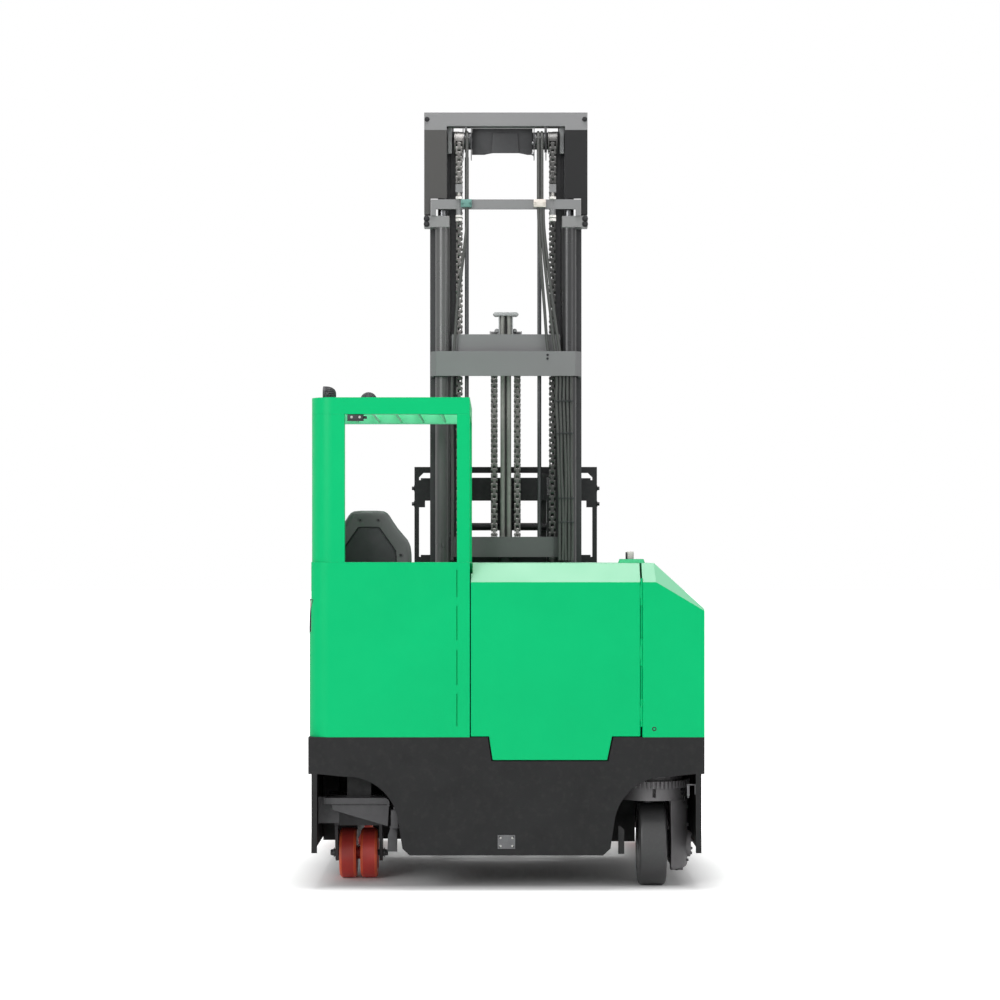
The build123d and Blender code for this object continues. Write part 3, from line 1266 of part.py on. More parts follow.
# The runs of chain between the sheaves and their ends
with BuildPart() as outer_chain_up:
    for side in (-1, 1):
        chain_run(side * outer_chain_x, outer_chain_rear, chain_end_z, head_sheave_z)
outer_chain_up.part.label = "outer_chain_up"
export_step(outer_chain_up.part, "parts/outer_chain_up.step")

with BuildPart() as outer_chain_down:
    for side in (-1, 1):
        chain_run(side * outer_chain_x, outer_chain_front, chain_lug_z, head_sheave_z)
outer_chain_down.part.label = "outer_chain_down"
export_step(outer_chain_down.part, "parts/outer_chain_down.step")

with BuildPart() as centre_chain_up:
    for side in (-1, 1):
        chain_run(side * centre_chain_x, centre_chain_rear_d, collar_high_z, sheave_axis_z)
centre_chain_up.part.label = "centre_chain_up"
export_step(centre_chain_up.part, "parts/centre_chain_up.step")

with BuildPart() as centre_chain_down:
    for side in (-1, 1):
        chain_run(side * centre_chain_x, centre_chain_front_d, carriage_anchor_z, sheave_axis_z)
centre_chain_down.part.label = "centre_chain_down"
export_step(centre_chain_down.part, "parts/centre_chain_down.step")

# Lift carriage: side plates with rollers in the inner mast, joined by bars in front
with BuildPart() as lift_carriage:
    with BuildSketch(Plane.YZ.offset(carriage_x - carriage_plate)) as cheek:
        Polygon((rear_y + carriage_plate_rear, lower_bar_low_z),
                (rear_y + carriage_bar_depth, lower_bar_low_z),
                (rear_y + carriage_bar_depth, upper_bar_high_z),
                (rear_y + carriage_bar_depth - carriage_nose, upper_bar_high_z),
                (rear_y + carriage_plate_rear, upper_bar_high_z - carriage_slope), align=None)
    extrude(amount=carriage_plate)
    mirror(about=Plane.YZ)
    roller_dia = mast_depth - 2 * channel_flange - 2 * seat_gap
    for side in (-1, 1):
        for height in (lower_bar_low_z + carriage_roller_low, upper_bar_high_z - carriage_roller_high):
            x0 = side * carriage_x
            x1 = side * (carriage_x + carriage_roller_reach)
            crosswise(min(x0, x1), max(x0, x1), mast_rear + mast_depth / 2, height, roller_dia)
    block(-carriage_x, carriage_x, carriage_bar_depth - carriage_bar, carriage_bar_depth,
          upper_bar_low_z, upper_bar_high_z)
    block(-carriage_x, carriage_x, carriage_bar_depth - carriage_bar, carriage_bar_depth,
          lower_bar_low_z, lower_bar_high_z)
    block(-centre_chain_x - chain_width / 2, centre_chain_x + chain_width / 2,
          centre_chain_front_d - chain_wide / 2, carriage_bar_depth, carriage_anchor_z - carriage_anchor,
          carriage_anchor_z)
    block(-centre_chain_x - chain_width / 2, centre_chain_x + chain_width / 2,
          carriage_bar_depth - carriage_bar, carriage_bar_depth, carriage_anchor_z, upper_bar_low_z)
    crosswise(-carriage_x - 40, carriage_x + 40, tilt_bar_depth, tilt_bar_z, tilt_bar_dia)
lift_carriage.part.label = "lift_carriage"
export_step(lift_carriage.part, "parts/lift_carriage.step")

# Tilt frame: hangs on the round bar and carries the side shift
with BuildPart() as tilt_frame:
    for side in (-1, 1):
        x0 = side * (carriage_x + 6)
        x1 = side * (carriage_x + 30)
        with BuildSketch(Plane.YZ.offset(min(x0, x1))):
            with Locations((rear_y + tilt_bar_depth, tilt_bar_z)):
                Circle(tilt_bar_dia / 2 + tilt_ear_wall)
            Polygon((rear_y + tilt_bar_depth, tilt_bar_z - tilt_bar_dia / 2 - tilt_ear_wall),
                    (rear_y + tilt_frame_rear, tilt_bar_z - tilt_ear),
                    (rear_y + tilt_frame_rear, tilt_bar_z + tilt_ear),
                    (rear_y + tilt_bar_depth, tilt_bar_z + tilt_bar_dia / 2 + tilt_ear_wall), align=None)
            with Locations((rear_y + tilt_bar_depth, tilt_bar_z)):
                Circle(tilt_bar_dia / 2 + seat_gap, mode=Mode.SUBTRACT)
        extrude(amount=24)
    block(-tilt_frame_half, tilt_frame_half, tilt_frame_rear, tilt_frame_rear + tilt_frame_plate,
          lower_bar_low_z + 20, lower_bar_high_z - 20)
    block(-tilt_frame_half, tilt_frame_half, tilt_frame_rear, tilt_frame_rear + tilt_frame_plate,
          upper_bar_low_z + 20, upper_bar_high_z - 20)
    pair(carriage_x - 20, carriage_x + 40, tilt_frame_rear, tilt_frame_rear + tilt_frame_plate,
         lower_bar_high_z - 20, upper_bar_low_z + 20)
tilt_frame.part.label = "tilt_frame"
export_step(tilt_frame.part, "parts/tilt_frame.step")

# Backrest with its bars, sliding sideways in front of the tilt frame
shift_rear = tilt_frame_rear + tilt_frame_plate + seat_gap
with BuildPart() as backrest:
    block(-upper_bar_x, upper_bar_x, shift_rear, fork_face, upper_bar_low_z, upper_bar_high_z)
    block(-upper_bar_x, upper_bar_x, shift_rear, fork_face, lower_bar_low_z, lower_bar_high_z)
    pair(backrest_x - backrest_post, backrest_x, shift_rear, fork_face, lower_bar_low_z, backrest_top_z)
    for low_z, high_z in ((upper_bar_low_z, upper_bar_high_z), (lower_bar_low_z, lower_bar_high_z)):
        pair(upper_bar_x, backrest_x - backrest_post, shift_rear, fork_face, low_z + 10, high_z - 10)
    block(-backrest_x, backrest_x, shift_rear, fork_face, backrest_top_z - backrest_rail, backrest_top_z)
    pair(backrest_x - backrest_post - hook_plate, backrest_x - backrest_post, shift_rear, fork_face,
         upper_bar_low_z - hook_drop, upper_bar_low_z + 10)
    with BuildSketch(rear_plane(shift_rear)):
        corner_x = backrest_x - backrest_post
        corner_z = backrest_top_z - backrest_rail
        Polygon((corner_x - backrest_gusset, corner_z), (corner_x, corner_z),
                (corner_x, corner_z - backrest_gusset), align=None)
        mirror(about=Plane.YZ)
    extrude(amount=-(fork_face - shift_rear))
backrest.part.label = "backrest"
export_step(backrest.part, "parts/backrest.step")

# Forks: shank hooked on the bars, heel and tapered blade
with BuildPart() as forks:
    with BuildSketch(Plane.YZ.offset(fork_spread - fork_width / 2)):
        with BuildLine():
            back = rear_y + fork_face + seat_gap
            Line((back, upper_bar_high_z + 30), (back, fork_low_z + fork_thick))
            RadiusArc((back, fork_low_z + fork_thick), (back + fork_thick, fork_low_z), -fork_thick)
            Polyline((back + fork_thick, fork_low_z), (fork_tip_y, fork_low_z),
                     (fork_tip_y, fork_low_z + fork_tip_thick),
                     (fork_tip_y - fork_taper, fork_low_z + fork_thick),
                     (back + fork_thick + 12, fork_low_z + fork_thick),
                     (back + fork_thick, fork_low_z + fork_thick + 12),
                     (back + fork_thick, upper_bar_high_z), (back + fork_thick * 0.6, upper_bar_high_z + 30),
                     (back, upper_bar_high_z + 30))
        make_face()
    extrude(amount=fork_width)
    # Narrow tip
    with BuildSketch(Plane.XY.offset(fork_low_z)):
        with BuildLine():
            x0 = fork_spread - fork_width / 2
            Polyline((x0, fork_tip_y), (x0, fork_tip_y - fork_width),
                     (x0 + (fork_width - fork_tip_width) / 2, fork_tip_y), (x0, fork_tip_y))
        make_face()
        mirror(about=Plane(origin=(fork_spread, 0, 0), z_dir=(1, 0, 0)))
    extrude(amount=fork_thick, mode=Mode.SUBTRACT)
    mirror(about=Plane.YZ)
forks.part.label = "forks"
export_step(forks.part, "parts/forks.step")

# Pipes and hoses held on the mast
with BuildPart() as middle_pipes:
    for pipe_x, pipe_low_z in pipe_runs:
        upright(pipe_x, pipe_depth, pipe_low_z, pipe_high_z, pipe_dia)
        block(pipe_x - 20, pipe_x + 20, member_rear + member_plate, pipe_depth + pipe_dia,
              upper_member_low_z + 20, upper_member_low_z + 60)
middle_pipes.part.label = "middle_pipes"
export_step(middle_pipes.part, "parts/middle_pipes.step")

with BuildPart() as outer_hoses:
    for n in range(hose_count):
        hose_x = hose_first_x + n * hose_pitch
        upright(hose_x, hose_depth, hose_low_z, hose_high_z, hose_dia)
    for clip_z in hose_clips:
        block(hose_first_x - hose_dia, hose_first_x + (hose_count - 1) * hose_pitch + hose_dia,
              hose_depth - hose_dia / 2 - 3, hose_depth + 3, clip_z, clip_z + hose_clip)
outer_hoses.part.label = "outer_hoses"
export_step(outer_hoses.part, "parts/outer_hoses.step")
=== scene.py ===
import bmesh
import bpy
import json
from math import cos, pi, radians, sin, sqrt
from mathutils import Matrix, Vector, bvhtree, kdtree


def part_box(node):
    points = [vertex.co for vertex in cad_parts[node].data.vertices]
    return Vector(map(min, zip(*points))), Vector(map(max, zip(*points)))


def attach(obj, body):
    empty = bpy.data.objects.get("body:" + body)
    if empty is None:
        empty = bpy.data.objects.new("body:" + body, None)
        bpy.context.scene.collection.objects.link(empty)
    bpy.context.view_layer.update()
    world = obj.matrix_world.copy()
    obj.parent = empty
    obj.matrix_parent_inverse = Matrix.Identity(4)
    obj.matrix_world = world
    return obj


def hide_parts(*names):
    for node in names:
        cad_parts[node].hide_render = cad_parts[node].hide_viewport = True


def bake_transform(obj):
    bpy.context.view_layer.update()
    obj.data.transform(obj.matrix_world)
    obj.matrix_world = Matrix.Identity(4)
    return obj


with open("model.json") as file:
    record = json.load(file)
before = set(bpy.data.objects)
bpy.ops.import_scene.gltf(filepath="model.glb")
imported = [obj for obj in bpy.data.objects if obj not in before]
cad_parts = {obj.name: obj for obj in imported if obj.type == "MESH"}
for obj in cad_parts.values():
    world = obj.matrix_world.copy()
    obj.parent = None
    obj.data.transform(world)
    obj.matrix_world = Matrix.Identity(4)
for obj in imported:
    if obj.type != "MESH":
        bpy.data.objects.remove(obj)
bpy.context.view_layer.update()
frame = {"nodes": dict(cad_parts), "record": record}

# Sizes in metres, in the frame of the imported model. Depths are measured from the rear face.
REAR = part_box("base_frame")[0].y
FLOOR = 0.0
CHAIN_PITCH = 0.0508
RIGHT, LEFT, AHEAD, REARWARD, UP = (1, 0, 0), (-1, 0, 0), (0, 1, 0), (0, -1, 0), (0, 0, 1)


def at(x, depth, z):
    """A point from its depth ahead of the rear face."""
    return Vector((x, REAR + depth, z))


def mm(*pairs):
    """Pairs in millimetres as pairs in metres."""
    return [(round(a / 1000, 7), round(b / 1000, 7)) for a, b in pairs]


# Materials

def linear(r, g, b):
    """A colour as it looks on the screen, 0 to 255, in the renderer's linear light."""
    return tuple((c / 255 / 12.92) if c <= 10 else ((c / 255 + 0.055) / 1.055) ** 2.4
        for c in (r, g, b)) + (1.0,)


def shade(colour, factor):
    return tuple(min(1.0, c * factor) for c in colour[:3]) + (1.0,)


def node(tree, kind, inputs, **settings):
    """A new node with its settings. Each input gets a value, or a link from a socket."""
    made = tree.nodes.new("ShaderNode" + kind)
    for name, value in settings.items():
        setattr(made, name, value)
    for name, value in inputs.items():
        if isinstance(value, bpy.types.NodeSocket):
            tree.links.new(value, made.inputs[name])
        else:
            made.inputs[name].default_value = value
    return made


def noise_at(tree, coords, scale, detail, stretch=None):
    """A noise texture on the object's own coordinates, in metres."""
    if stretch:
        coords = node(tree, "Mapping", {"Vector": coords, "Scale": stretch}).outputs["Vector"]
    return node(tree, "TexNoise", {"Scale": scale, "Detail": detail, "Vector": coords}).outputs["Fac"]


def spread(tree, value, low, high, from_low=0.3, from_high=0.7):
    """A texture value spread over a range."""
    return node(tree, "MapRange", {"Value": value, "From Min": from_low, "From Max": from_high, "To Min": low,
        "To Max": high}).outputs["Result"]


def mixed(tree, factor, first, second):
    """Two colours, or a colour and a socket, mixed by a texture value."""
    mix = node(tree, "Mix", {"Factor": factor}, data_type="RGBA")
    for socket, value in (("A", first), ("B", second)):
        place = [i for i in mix.inputs if i.name == socket and i.type == "RGBA"][0]
        if isinstance(value, tuple):
            place.default_value = value
        else:
            tree.links.new(value, place)
    return [o for o in mix.outputs if o.type == "RGBA"][0]


def surface(name, colour, metal=0.0, rough=0.5, mottle=0.07, patch=3.0, grain=300.0, depth=0.15, dust=0.0,
        coat=0.0, gloss=0.5, edge=0.0015, stretch=None, pattern=None):
    """A painted, moulded or bare surface: uneven colour, fine grain, worn gloss and softened edges."""
    colour = linear(*colour)
    made = bpy.data.materials.new(name)
    made.use_nodes = True
    tree = made.node_tree
    shader = tree.nodes["Principled BSDF"]
    shader.inputs["Metallic"].default_value = metal
    shader.inputs["Specular IOR Level"].default_value = gloss
    shader.inputs["Coat Weight"].default_value = coat
    shader.inputs["Coat Roughness"].default_value = 0.15
    coords = node(tree, "TexCoord", {}).outputs["Object"]
    wide = noise_at(tree, coords, patch, 5.0)
    tint = mixed(tree, spread(tree, wide, 0.0, 1.0), shade(colour, 1 - mottle), shade(colour, 1 + mottle))
    if dust:
        specks = noise_at(tree, coords, patch * 14, 12.0)
        tint = mixed(tree, spread(tree, specks, 0.0, dust, 0.5, 0.8), tint, linear(120, 117, 112))
    fine = noise_at(tree, coords, grain, 3.0, stretch)
    height = fine
    if pattern:
        tint, height = pattern(tree, coords, tint, fine, colour)
    tree.links.new(tint, shader.inputs["Base Color"])
    tree.links.new(spread(tree, noise_at(tree, coords, patch * 4, 6.0, stretch), rough * 0.85, rough * 1.2),
        shader.inputs["Roughness"])
    bump = node(tree, "Bump", {"Strength": depth, "Distance": 0.0006, "Height": height})
    if edge:
        rounding = node(tree, "Bevel", {"Radius": edge}, samples=4)
        tree.links.new(rounding.outputs["Normal"], bump.inputs["Normal"])
    tree.links.new(bump.outputs["Normal"], shader.inputs["Normal"])
    return made


def hide(tree, coords, tint, fine, colour):
    """Leather cloth: small cells with creases between them."""
    cells = node(tree, "TexVoronoi", {"Scale": 420.0, "Vector": coords}, feature="DISTANCE_TO_EDGE")
    height = spread(tree, cells.outputs["Distance"], 0.0, 1.0, 0.0, 0.25)
    return mixed(tree, height, shade(colour, 0.55), tint), height


def braid(tree, coords, tint, fine, colour):
    """Hose cover: fine rings along the hose."""
    rings = node(tree, "TexWave", {"Scale": 180.0, "Distortion": 1.5, "Vector": coords}, bands_direction="Z")
    return mixed(tree, rings.outputs["Fac"], shade(colour, 0.75), tint), rings.outputs["Fac"]


def brushed(tree, coords, tint, fine, colour):
    """Turned or drawn metal: streaks one way."""
    return mixed(tree, spread(tree, fine, 0.0, 1.0, 0.35, 0.65), shade(colour, 0.7), tint), fine


def past(tree, coords, axis, place, blur=0.001):
    """0 before a place along an axis of the machine, 1 past it, in metres."""
    split = node(tree, "SeparateXYZ", {0: coords})
    return spread(tree, split.outputs[axis], 0.0, 1.0, place - blur, place + blur)


def both(tree, first, second, how="MULTIPLY"):
    return node(tree, "Math", {0: first, 1: second}, operation=how).outputs["Value"]


def head_zones_and_shade(tree, coords, tint, fine, colour):
    """The head's bar and the anchor bar are pale, the plates at the sides are dark, and the right plate is
    painted darker than the left as painted shade.
    """
    # Painted shade: the right side plate is painted far darker than the left one.
    plates = mixed(tree, past(tree, coords, "X", 0.0), linear(72, 71, 70), linear(26, 26, 27))
    rear = mixed(tree, past(tree, coords, "Y", REAR + 1.045), tint, plates)
    return mixed(tree, past(tree, coords, "Z", 3.566), rear, tint), fine


def barrel_zones_and_shade(tree, coords, tint, fine, colour):
    """The clamps on top of the lift cylinders are pale, and the right cylinder is painted darker than the
    left as painted shade.
    """
    # Painted shade: the right cylinder is darker than the left one.
    tubes = mixed(tree, past(tree, coords, "X", 0.0), tint, linear(54, 54, 55))
    return mixed(tree, past(tree, coords, "Z", 3.09), tubes, linear(134, 134, 134)), fine


def low_member_shade(tree, coords, tint, fine, colour):
    """The low cross member is painted darker than the upper ones, as painted shade."""
    # Painted shade: a darker colour below 1.9 m.
    return mixed(tree, past(tree, coords, "Z", 1.9), linear(94, 93, 94), tint), fine


def guard_painted_light(tree, coords, tint, fine, colour):
    """The slats inside the roof frame are painted paler than the frame, as painted light."""
    inside = both(tree, past(tree, coords, "X", -0.829), past(tree, coords, "Y", REAR + 0.045))
    roof = both(tree, inside, past(tree, coords, "Z", 2.1205, 0.0002))
    right = both(tree, roof, past(tree, coords, "X", -0.204), "SUBTRACT")
    # Painted light: a pale mint in place of the frame's green on the slats.
    return mixed(tree, right, tint, linear(128, 232, 184)), fine


def painted_sheen(tree, coords, tint, fine, colour):
    """Painted sheen: sloping tops of the bodywork are painted paler, as gloss paint looks under the sky."""
    split = node(tree, "SeparateXYZ", {0: node(tree, "NewGeometry", {}).outputs["Normal"]})
    # Painted reflection: a paler colour where the surface faces up.
    return mixed(tree, spread(tree, split.outputs["Z"], 0.0, 0.75, 0.15, 0.75), tint,
        linear(158, 198, 176)), fine


def casting_zones_and_shade(tree, coords, tint, fine, colour):
    """The castor's side is painted darker than the drive unit's, and nearly black deep in its arch, both as
    painted shade.
    """
    # Painted shade: near-black high in the castor's arch, and a darker castor side.
    deep = both(tree, past(tree, coords, "Z", 0.4055), past(tree, coords, "X", 0.0), "SUBTRACT")
    sides = mixed(tree, past(tree, coords, "X", 0.0), linear(74, 73, 75), tint)
    return mixed(tree, deep, sides, linear(16, 16, 17)), fine


def console_zones(tree, coords, tint, fine, colour):
    """The plate under the deck's knob is painted like the body."""
    right = past(tree, coords, "X", 0.4)
    plate = both(tree, right, both(tree, past(tree, coords, "Z", 1.4755), right), "SUBTRACT")
    return mixed(tree, plate, tint, linear(60, 186, 128)), fine


def chain_zones(tree, coords, tint, fine, colour):
    """The chains at the right are darker than the others."""
    return mixed(tree, past(tree, coords, "X", 0.12), tint, linear(84, 83, 82)), fine


GREEN = (0, 193, 117)
BLACK = (34, 34, 35)
# Slots of the record, with the arguments of their surfaces
FINISHES = {
    "body_paint": dict(colour=GREEN, rough=0.34, gloss=0.14, mottle=0.025, grain=900, depth=0.04, edge=0.003,
        pattern=painted_sheen),
    "base_paint": dict(colour=BLACK, rough=0.6, gloss=0.25, mottle=0.06, grain=1400, depth=0.3, dust=0.04,
        edge=0.003),
    "guard_paint": dict(colour=GREEN, rough=0.34, gloss=0.14, mottle=0.025, grain=900, depth=0.04, edge=0.003,
        pattern=guard_painted_light),
    "mast_paint": dict(colour=(64, 64, 66), rough=0.4, gloss=0.4, mottle=0.08, grain=700, depth=0.12,
        dust=0.05),
    "member_paint": dict(colour=(122, 122, 123), rough=0.5, gloss=0.3, mottle=0.06, grain=700, depth=0.15,
        dust=0.05, pattern=low_member_shade),
    "head_paint": dict(colour=(128, 128, 129), rough=0.5, gloss=0.3, mottle=0.05, grain=700, depth=0.15,
        dust=0.05, pattern=head_zones_and_shade),
    "carriage_paint": dict(colour=(38, 38, 40), rough=0.42, gloss=0.35, mottle=0.1, grain=700, depth=0.15,
        dust=0.06),
    "rod_chrome": dict(colour=(112, 113, 115), metal=0.9, rough=0.24, grain=500, depth=0.02, mottle=0.05),
    "barrel_paint": dict(colour=(88, 88, 88), metal=0.25, rough=0.3, mottle=0.05, grain=700, depth=0.08,
        dust=0.05, pattern=barrel_zones_and_shade),
    "chain_steel": dict(colour=(116, 114, 112), metal=0.6, rough=0.4, mottle=0.25, patch=40, grain=900,
        depth=0.1, edge=0.0, pattern=chain_zones),
    "casting_grey": dict(colour=(102, 100, 102), metal=0.15, rough=0.55, mottle=0.22, patch=9, grain=420,
        depth=0.8, dust=0.15, pattern=casting_zones_and_shade),
    "fork_steel": dict(colour=(48, 48, 49), rough=0.5, mottle=0.2, grain=500, depth=0.3, dust=0.15),
    "drive_tyre": dict(colour=(50, 50, 51), rough=0.42, gloss=0.7, mottle=0.1, patch=8, grain=260,
        depth=0.25, dust=0.05, edge=0.002),
    "castor_tread": dict(colour=(196, 64, 57), rough=0.42, mottle=0.15, patch=10, grain=420, depth=0.25,
        edge=0.002),
    "hose_rubber": dict(colour=(74, 75, 73), rough=0.5, mottle=0.1, grain=900, depth=0.3, edge=0.0,
        pattern=braid),
    "pipe_steel": dict(colour=(74, 75, 77), metal=0.5, rough=0.35, mottle=0.08, grain=600, depth=0.05,
        stretch=(1, 1, 0.05), pattern=brushed),
    "seat_shell": dict(colour=(96, 96, 97), rough=0.42, mottle=0.06, grain=1500, depth=0.5, edge=0.002),
    "seat_pad": dict(colour=(44, 44, 47), rough=0.75, mottle=0.08, grain=900, depth=0.6, edge=0.0,
        pattern=hide),
    "console_plastic": dict(colour=(52, 53, 55), rough=0.55, mottle=0.06, grain=1600, depth=0.5, edge=0.003,
        pattern=console_zones),
    "lamp_plastic": dict(colour=(52, 50, 54), rough=0.45, mottle=0.08, grain=900, depth=0.25, edge=0.001),
    "battery_case": dict(colour=(70, 74, 78), rough=0.5, mottle=0.1, grain=600, depth=0.2, dust=0.1),
    "plate_steel": dict(colour=(120, 120, 122), metal=0.8, rough=0.4, mottle=0.15, patch=30, grain=900,
        depth=0.15, pattern=brushed),
}
finishes = {slot: surface(slot, **how) for slot, how in FINISHES.items()}
bolt_steel = surface("bolt_steel", (110, 110, 112), metal=0.8, rough=0.38, mottle=0.2, patch=60, grain=900,
    depth=0.1, edge=0.0)
dark_bolt = surface("dark_bolt", (40, 40, 42), metal=0.4, rough=0.45, mottle=0.2, patch=60, edge=0.0)
lens_clear = surface("lens_clear", (205, 210, 214), metal=0.3, rough=0.12, mottle=0.05, patch=60, grain=1200,
    depth=0.4, coat=1.0, edge=0.0)
seam_thread = surface("seam_thread", (70, 70, 74), rough=0.8, mottle=0.1, patch=80, edge=0.0)


def paint_nodes():
    """Every CAD node gets the finish of its slot."""
    for part in frame["record"]["subparts"]:
        node = frame["nodes"][part["node"]]
        node.data.materials.clear()
        node.data.materials.append(finishes[part["material_slot"]])


paint_nodes()


# Mesh making

def finish_mesh(name, bm, material, body=None, sharp=35.0, stands_for=()):
    """The bmesh as a piece that rides on a body, in a material or, by its name, in a slot's finish."""
    bmesh.ops.remove_doubles(bm, verts=bm.verts, dist=0.00001)
    bmesh.ops.recalc_face_normals(bm, faces=bm.faces)
    for face in bm.faces:
        face.smooth = True
    for line in bm.edges:
        line.smooth = len(line.link_faces) == 2 and line.calc_face_angle(0.0) < radians(sharp)
    mesh = bpy.data.meshes.new(name)
    bm.to_mesh(mesh)
    bm.free()
    piece = bpy.data.objects.new(name, mesh)
    bpy.context.scene.collection.objects.link(piece)
    in_slot = isinstance(material, str)
    mesh.materials.append(finishes[material] if in_slot else material)
    if body:
        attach(piece, body)
    if stands_for:
        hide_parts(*stands_for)
    return piece


def frame_along(direction):
    """Turns Z to a direction, with X as level as it can be."""
    z = Vector(direction).normalized()
    side = Vector(UP).cross(z)
    if side.length < 1e-6:
        side = Vector(RIGHT).cross(z) if abs(z.x) < 0.9 else Vector(AHEAD).cross(z)
    x = side.normalized()
    return Matrix((x, z.cross(x), z)).transposed().to_4x4()


def add_block(bm, low, high, bevel=0.0):
    """A box between two corners with softened edges."""
    low, high = Vector(low), Vector(high)
    size = high - low
    made = bmesh.ops.create_cube(bm, size=1.0,
        matrix=Matrix.Translation((low + high) / 2) @ Matrix.Diagonal((*size, 1)))
    if bevel:
        edges = dict.fromkeys(e for v in made["verts"] for e in v.link_edges)
        bmesh.ops.bevel(bm, geom=list(edges), offset=bevel, segments=2, affect="EDGES", profile=0.6)


def add_lathe(bm, origin, axis, profile, sides):
    """A turned piece: profile is a list of (radius, place along the axis)."""
    turn = Matrix.Translation(Vector(origin)) @ frame_along(axis)
    rings = []
    for radius, along in profile:
        if radius < 1e-6:
            rings.append([bm.verts.new(turn @ Vector((0, 0, along)))])
            continue
        rings.append([bm.verts.new(turn @ Vector((radius * cos(2 * pi * n / sides),
            radius * sin(2 * pi * n / sides), along))) for n in range(sides)])
    for first, second in zip(rings, rings[1:]):
        for n in range(sides):
            corners = [first[n % len(first)], first[(n + 1) % len(first)], second[(n + 1) % len(second)],
                second[n % len(second)]]
            corners = list(dict.fromkeys(corners))
            if len(corners) > 2:
                bm.faces.new(corners)


def add_rod(bm, start, end, radius, sides):
    """A round bar with softened ends."""
    start, end = Vector(start), Vector(end)
    long = (end - start).length
    soft = min(radius * 0.12, long / 3)
    add_lathe(bm, start, end - start, [(0, 0), (radius - soft, 0), (radius, soft), (radius, long - soft),
        (radius - soft, long), (0, long)], sides)


def add_plate(bm, outline, origin, across, up, thick, bevel=0.0):
    """A plate cut to an outline of (across, up) points. It grows along across x up."""
    origin, across, up = Vector(origin), Vector(across).normalized(), Vector(up).normalized()
    out = across.cross(up)
    front = [bm.verts.new(origin + across * u + up * v) for u, v in outline]
    back = [bm.verts.new(v.co + out * thick) for v in front]
    faces = [bm.faces.new(front), bm.faces.new(list(reversed(back)))]
    for n in range(len(front)):
        m = (n + 1) % len(front)
        faces.append(bm.faces.new((front[m], front[n], back[n], back[m])))
    if bevel:
        rims = dict.fromkeys(e for f in faces[:2] for e in f.edges)
        bmesh.ops.bevel(bm, geom=list(rims), offset=bevel, segments=2, affect="EDGES", profile=0.6)


def smooth_path(points, steps=8):
    """Points of a smooth curve through the given ones."""
    points = [Vector(p) for p in points]
    ends = [2 * points[0] - points[1]] + points + [2 * points[-1] - points[-2]]
    path = []
    for a, b, c, d in zip(ends, ends[1:], ends[2:], ends[3:]):
        for n in range(steps):
            t = n / steps
            path.append(0.5 * (2 * b + (c - a) * t + (2 * a - 5 * b + 4 * c - d) * t * t +
                (3 * b - 3 * c + d - a) * t * t * t))
    path.append(points[-1])
    return path


def add_tube(bm, points, radius, sides, steps):
    """A tube along a smooth path through the points."""
    path = smooth_path(points, steps) if steps else [Vector(p) for p in points]
    side = None
    rings = []
    for n, point in enumerate(path):
        ahead = path[min(n + 1, len(path) - 1)] - path[max(n - 1, 0)]
        ahead.normalize()
        if side is None:
            side = ahead.orthogonal().normalized()
        side = (side - ahead * side.dot(ahead)).normalized()
        other = ahead.cross(side)
        rings.append([bm.verts.new(point + radius *
            (side * cos(2 * pi * k / sides) + other * sin(2 * pi * k / sides))) for k in range(sides)])
    for first, second in zip(rings, rings[1:]):
        for k in range(sides):
            bm.faces.new((first[k], first[(k + 1) % sides], second[(k + 1) % sides], second[k]))
    bm.faces.new(list(reversed(rings[0])))
    bm.faces.new(rings[-1])


def add_bolt(bm, place, direction, across, socket=False):
    """A bolt head on a surface: washer, and a hexagon head with softened corners or a round head with a
    socket.
    """
    place, direction = Vector(place), Vector(direction).normalized()
    radius = across / 2 / cos(pi / 6)
    high = across * 0.62
    add_lathe(bm, place, direction, [(0, 0), (across * 0.82, 0), (across * 0.86, across * 0.03),
        (across * 0.86, across * 0.1), (across * 0.82, across * 0.13), (0, across * 0.13)], 20)
    base = across * 0.1
    if socket:
        add_lathe(bm, place, direction, [(0, 0), (across * 0.5, 0), (across * 0.5, base + high - 0.001),
            (across * 0.46, base + high), (across * 0.27, base + high), (across * 0.27, base + high * 0.5),
            (0, base + high * 0.45)], 18)
        return
    add_lathe(bm, place, direction, [(0, 0), (radius, base), (radius, base + high * 0.85),
        (radius * 0.86, base + high), (0, base + high)], 6)


# Chains

def add_link_plate(bm, x, y, z, long, waist_y, head_y, thick):
    """One plate of a leaf chain in the upright plane that runs front to back: two round heads and a waist."""
    outline = []
    for n in range(7):
        turn = -pi * 0.5 + pi * n / 6
        outline.append((head_y * cos(turn + pi / 2), long / 2 + head_y * sin(turn + pi / 2)))
    outline.append((-waist_y, 0.0))
    for n in range(7):
        turn = pi * 0.5 + pi * n / 6
        outline.append((head_y * cos(turn + pi / 2), -long / 2 + head_y * sin(turn + pi / 2)))
    outline.append((waist_y, 0.0))
    near = [bm.verts.new((x - thick / 2, y + u, z + v)) for u, v in outline]
    far = [bm.verts.new((x + thick / 2, y + u, z + v)) for u, v in outline]
    bm.faces.new(near)
    bm.faces.new(list(reversed(far)))
    for n in range(len(near)):
        m = (n + 1) % len(near)
        bm.faces.new((near[m], near[n], far[n], far[m]))


def add_leaf_chain(bm, x, depth, low, high, wide=0.034, head=0.0098):
    """A straight run of leaf chain: plates in turn on pins, which stand out a little on both sides."""
    y = REAR + depth
    pins = max(2, round((high - low) / (CHAIN_PITCH / 2)) + 1)
    step = (high - low - 2 * head) / (pins - 1)
    leaf = wide * 0.9 / 8
    for n in range(pins):
        z = low + head + n * step
        add_lathe(bm, (x - wide / 2, y, z), RIGHT,
            [(0, 0), (0.0034, 0), (0.0044, 0.0012), (0.0044, wide - 0.0012), (0.0034, wide), (0, wide)], 8)
        if n == pins - 1:
            break
        for column in ((0, 1, 6, 7), (2, 3, 4, 5))[n % 2]:
            add_link_plate(bm, x + (column - 3.5) * leaf, y, z + step / 2, step, head * 0.72, head,
                leaf * 0.9)


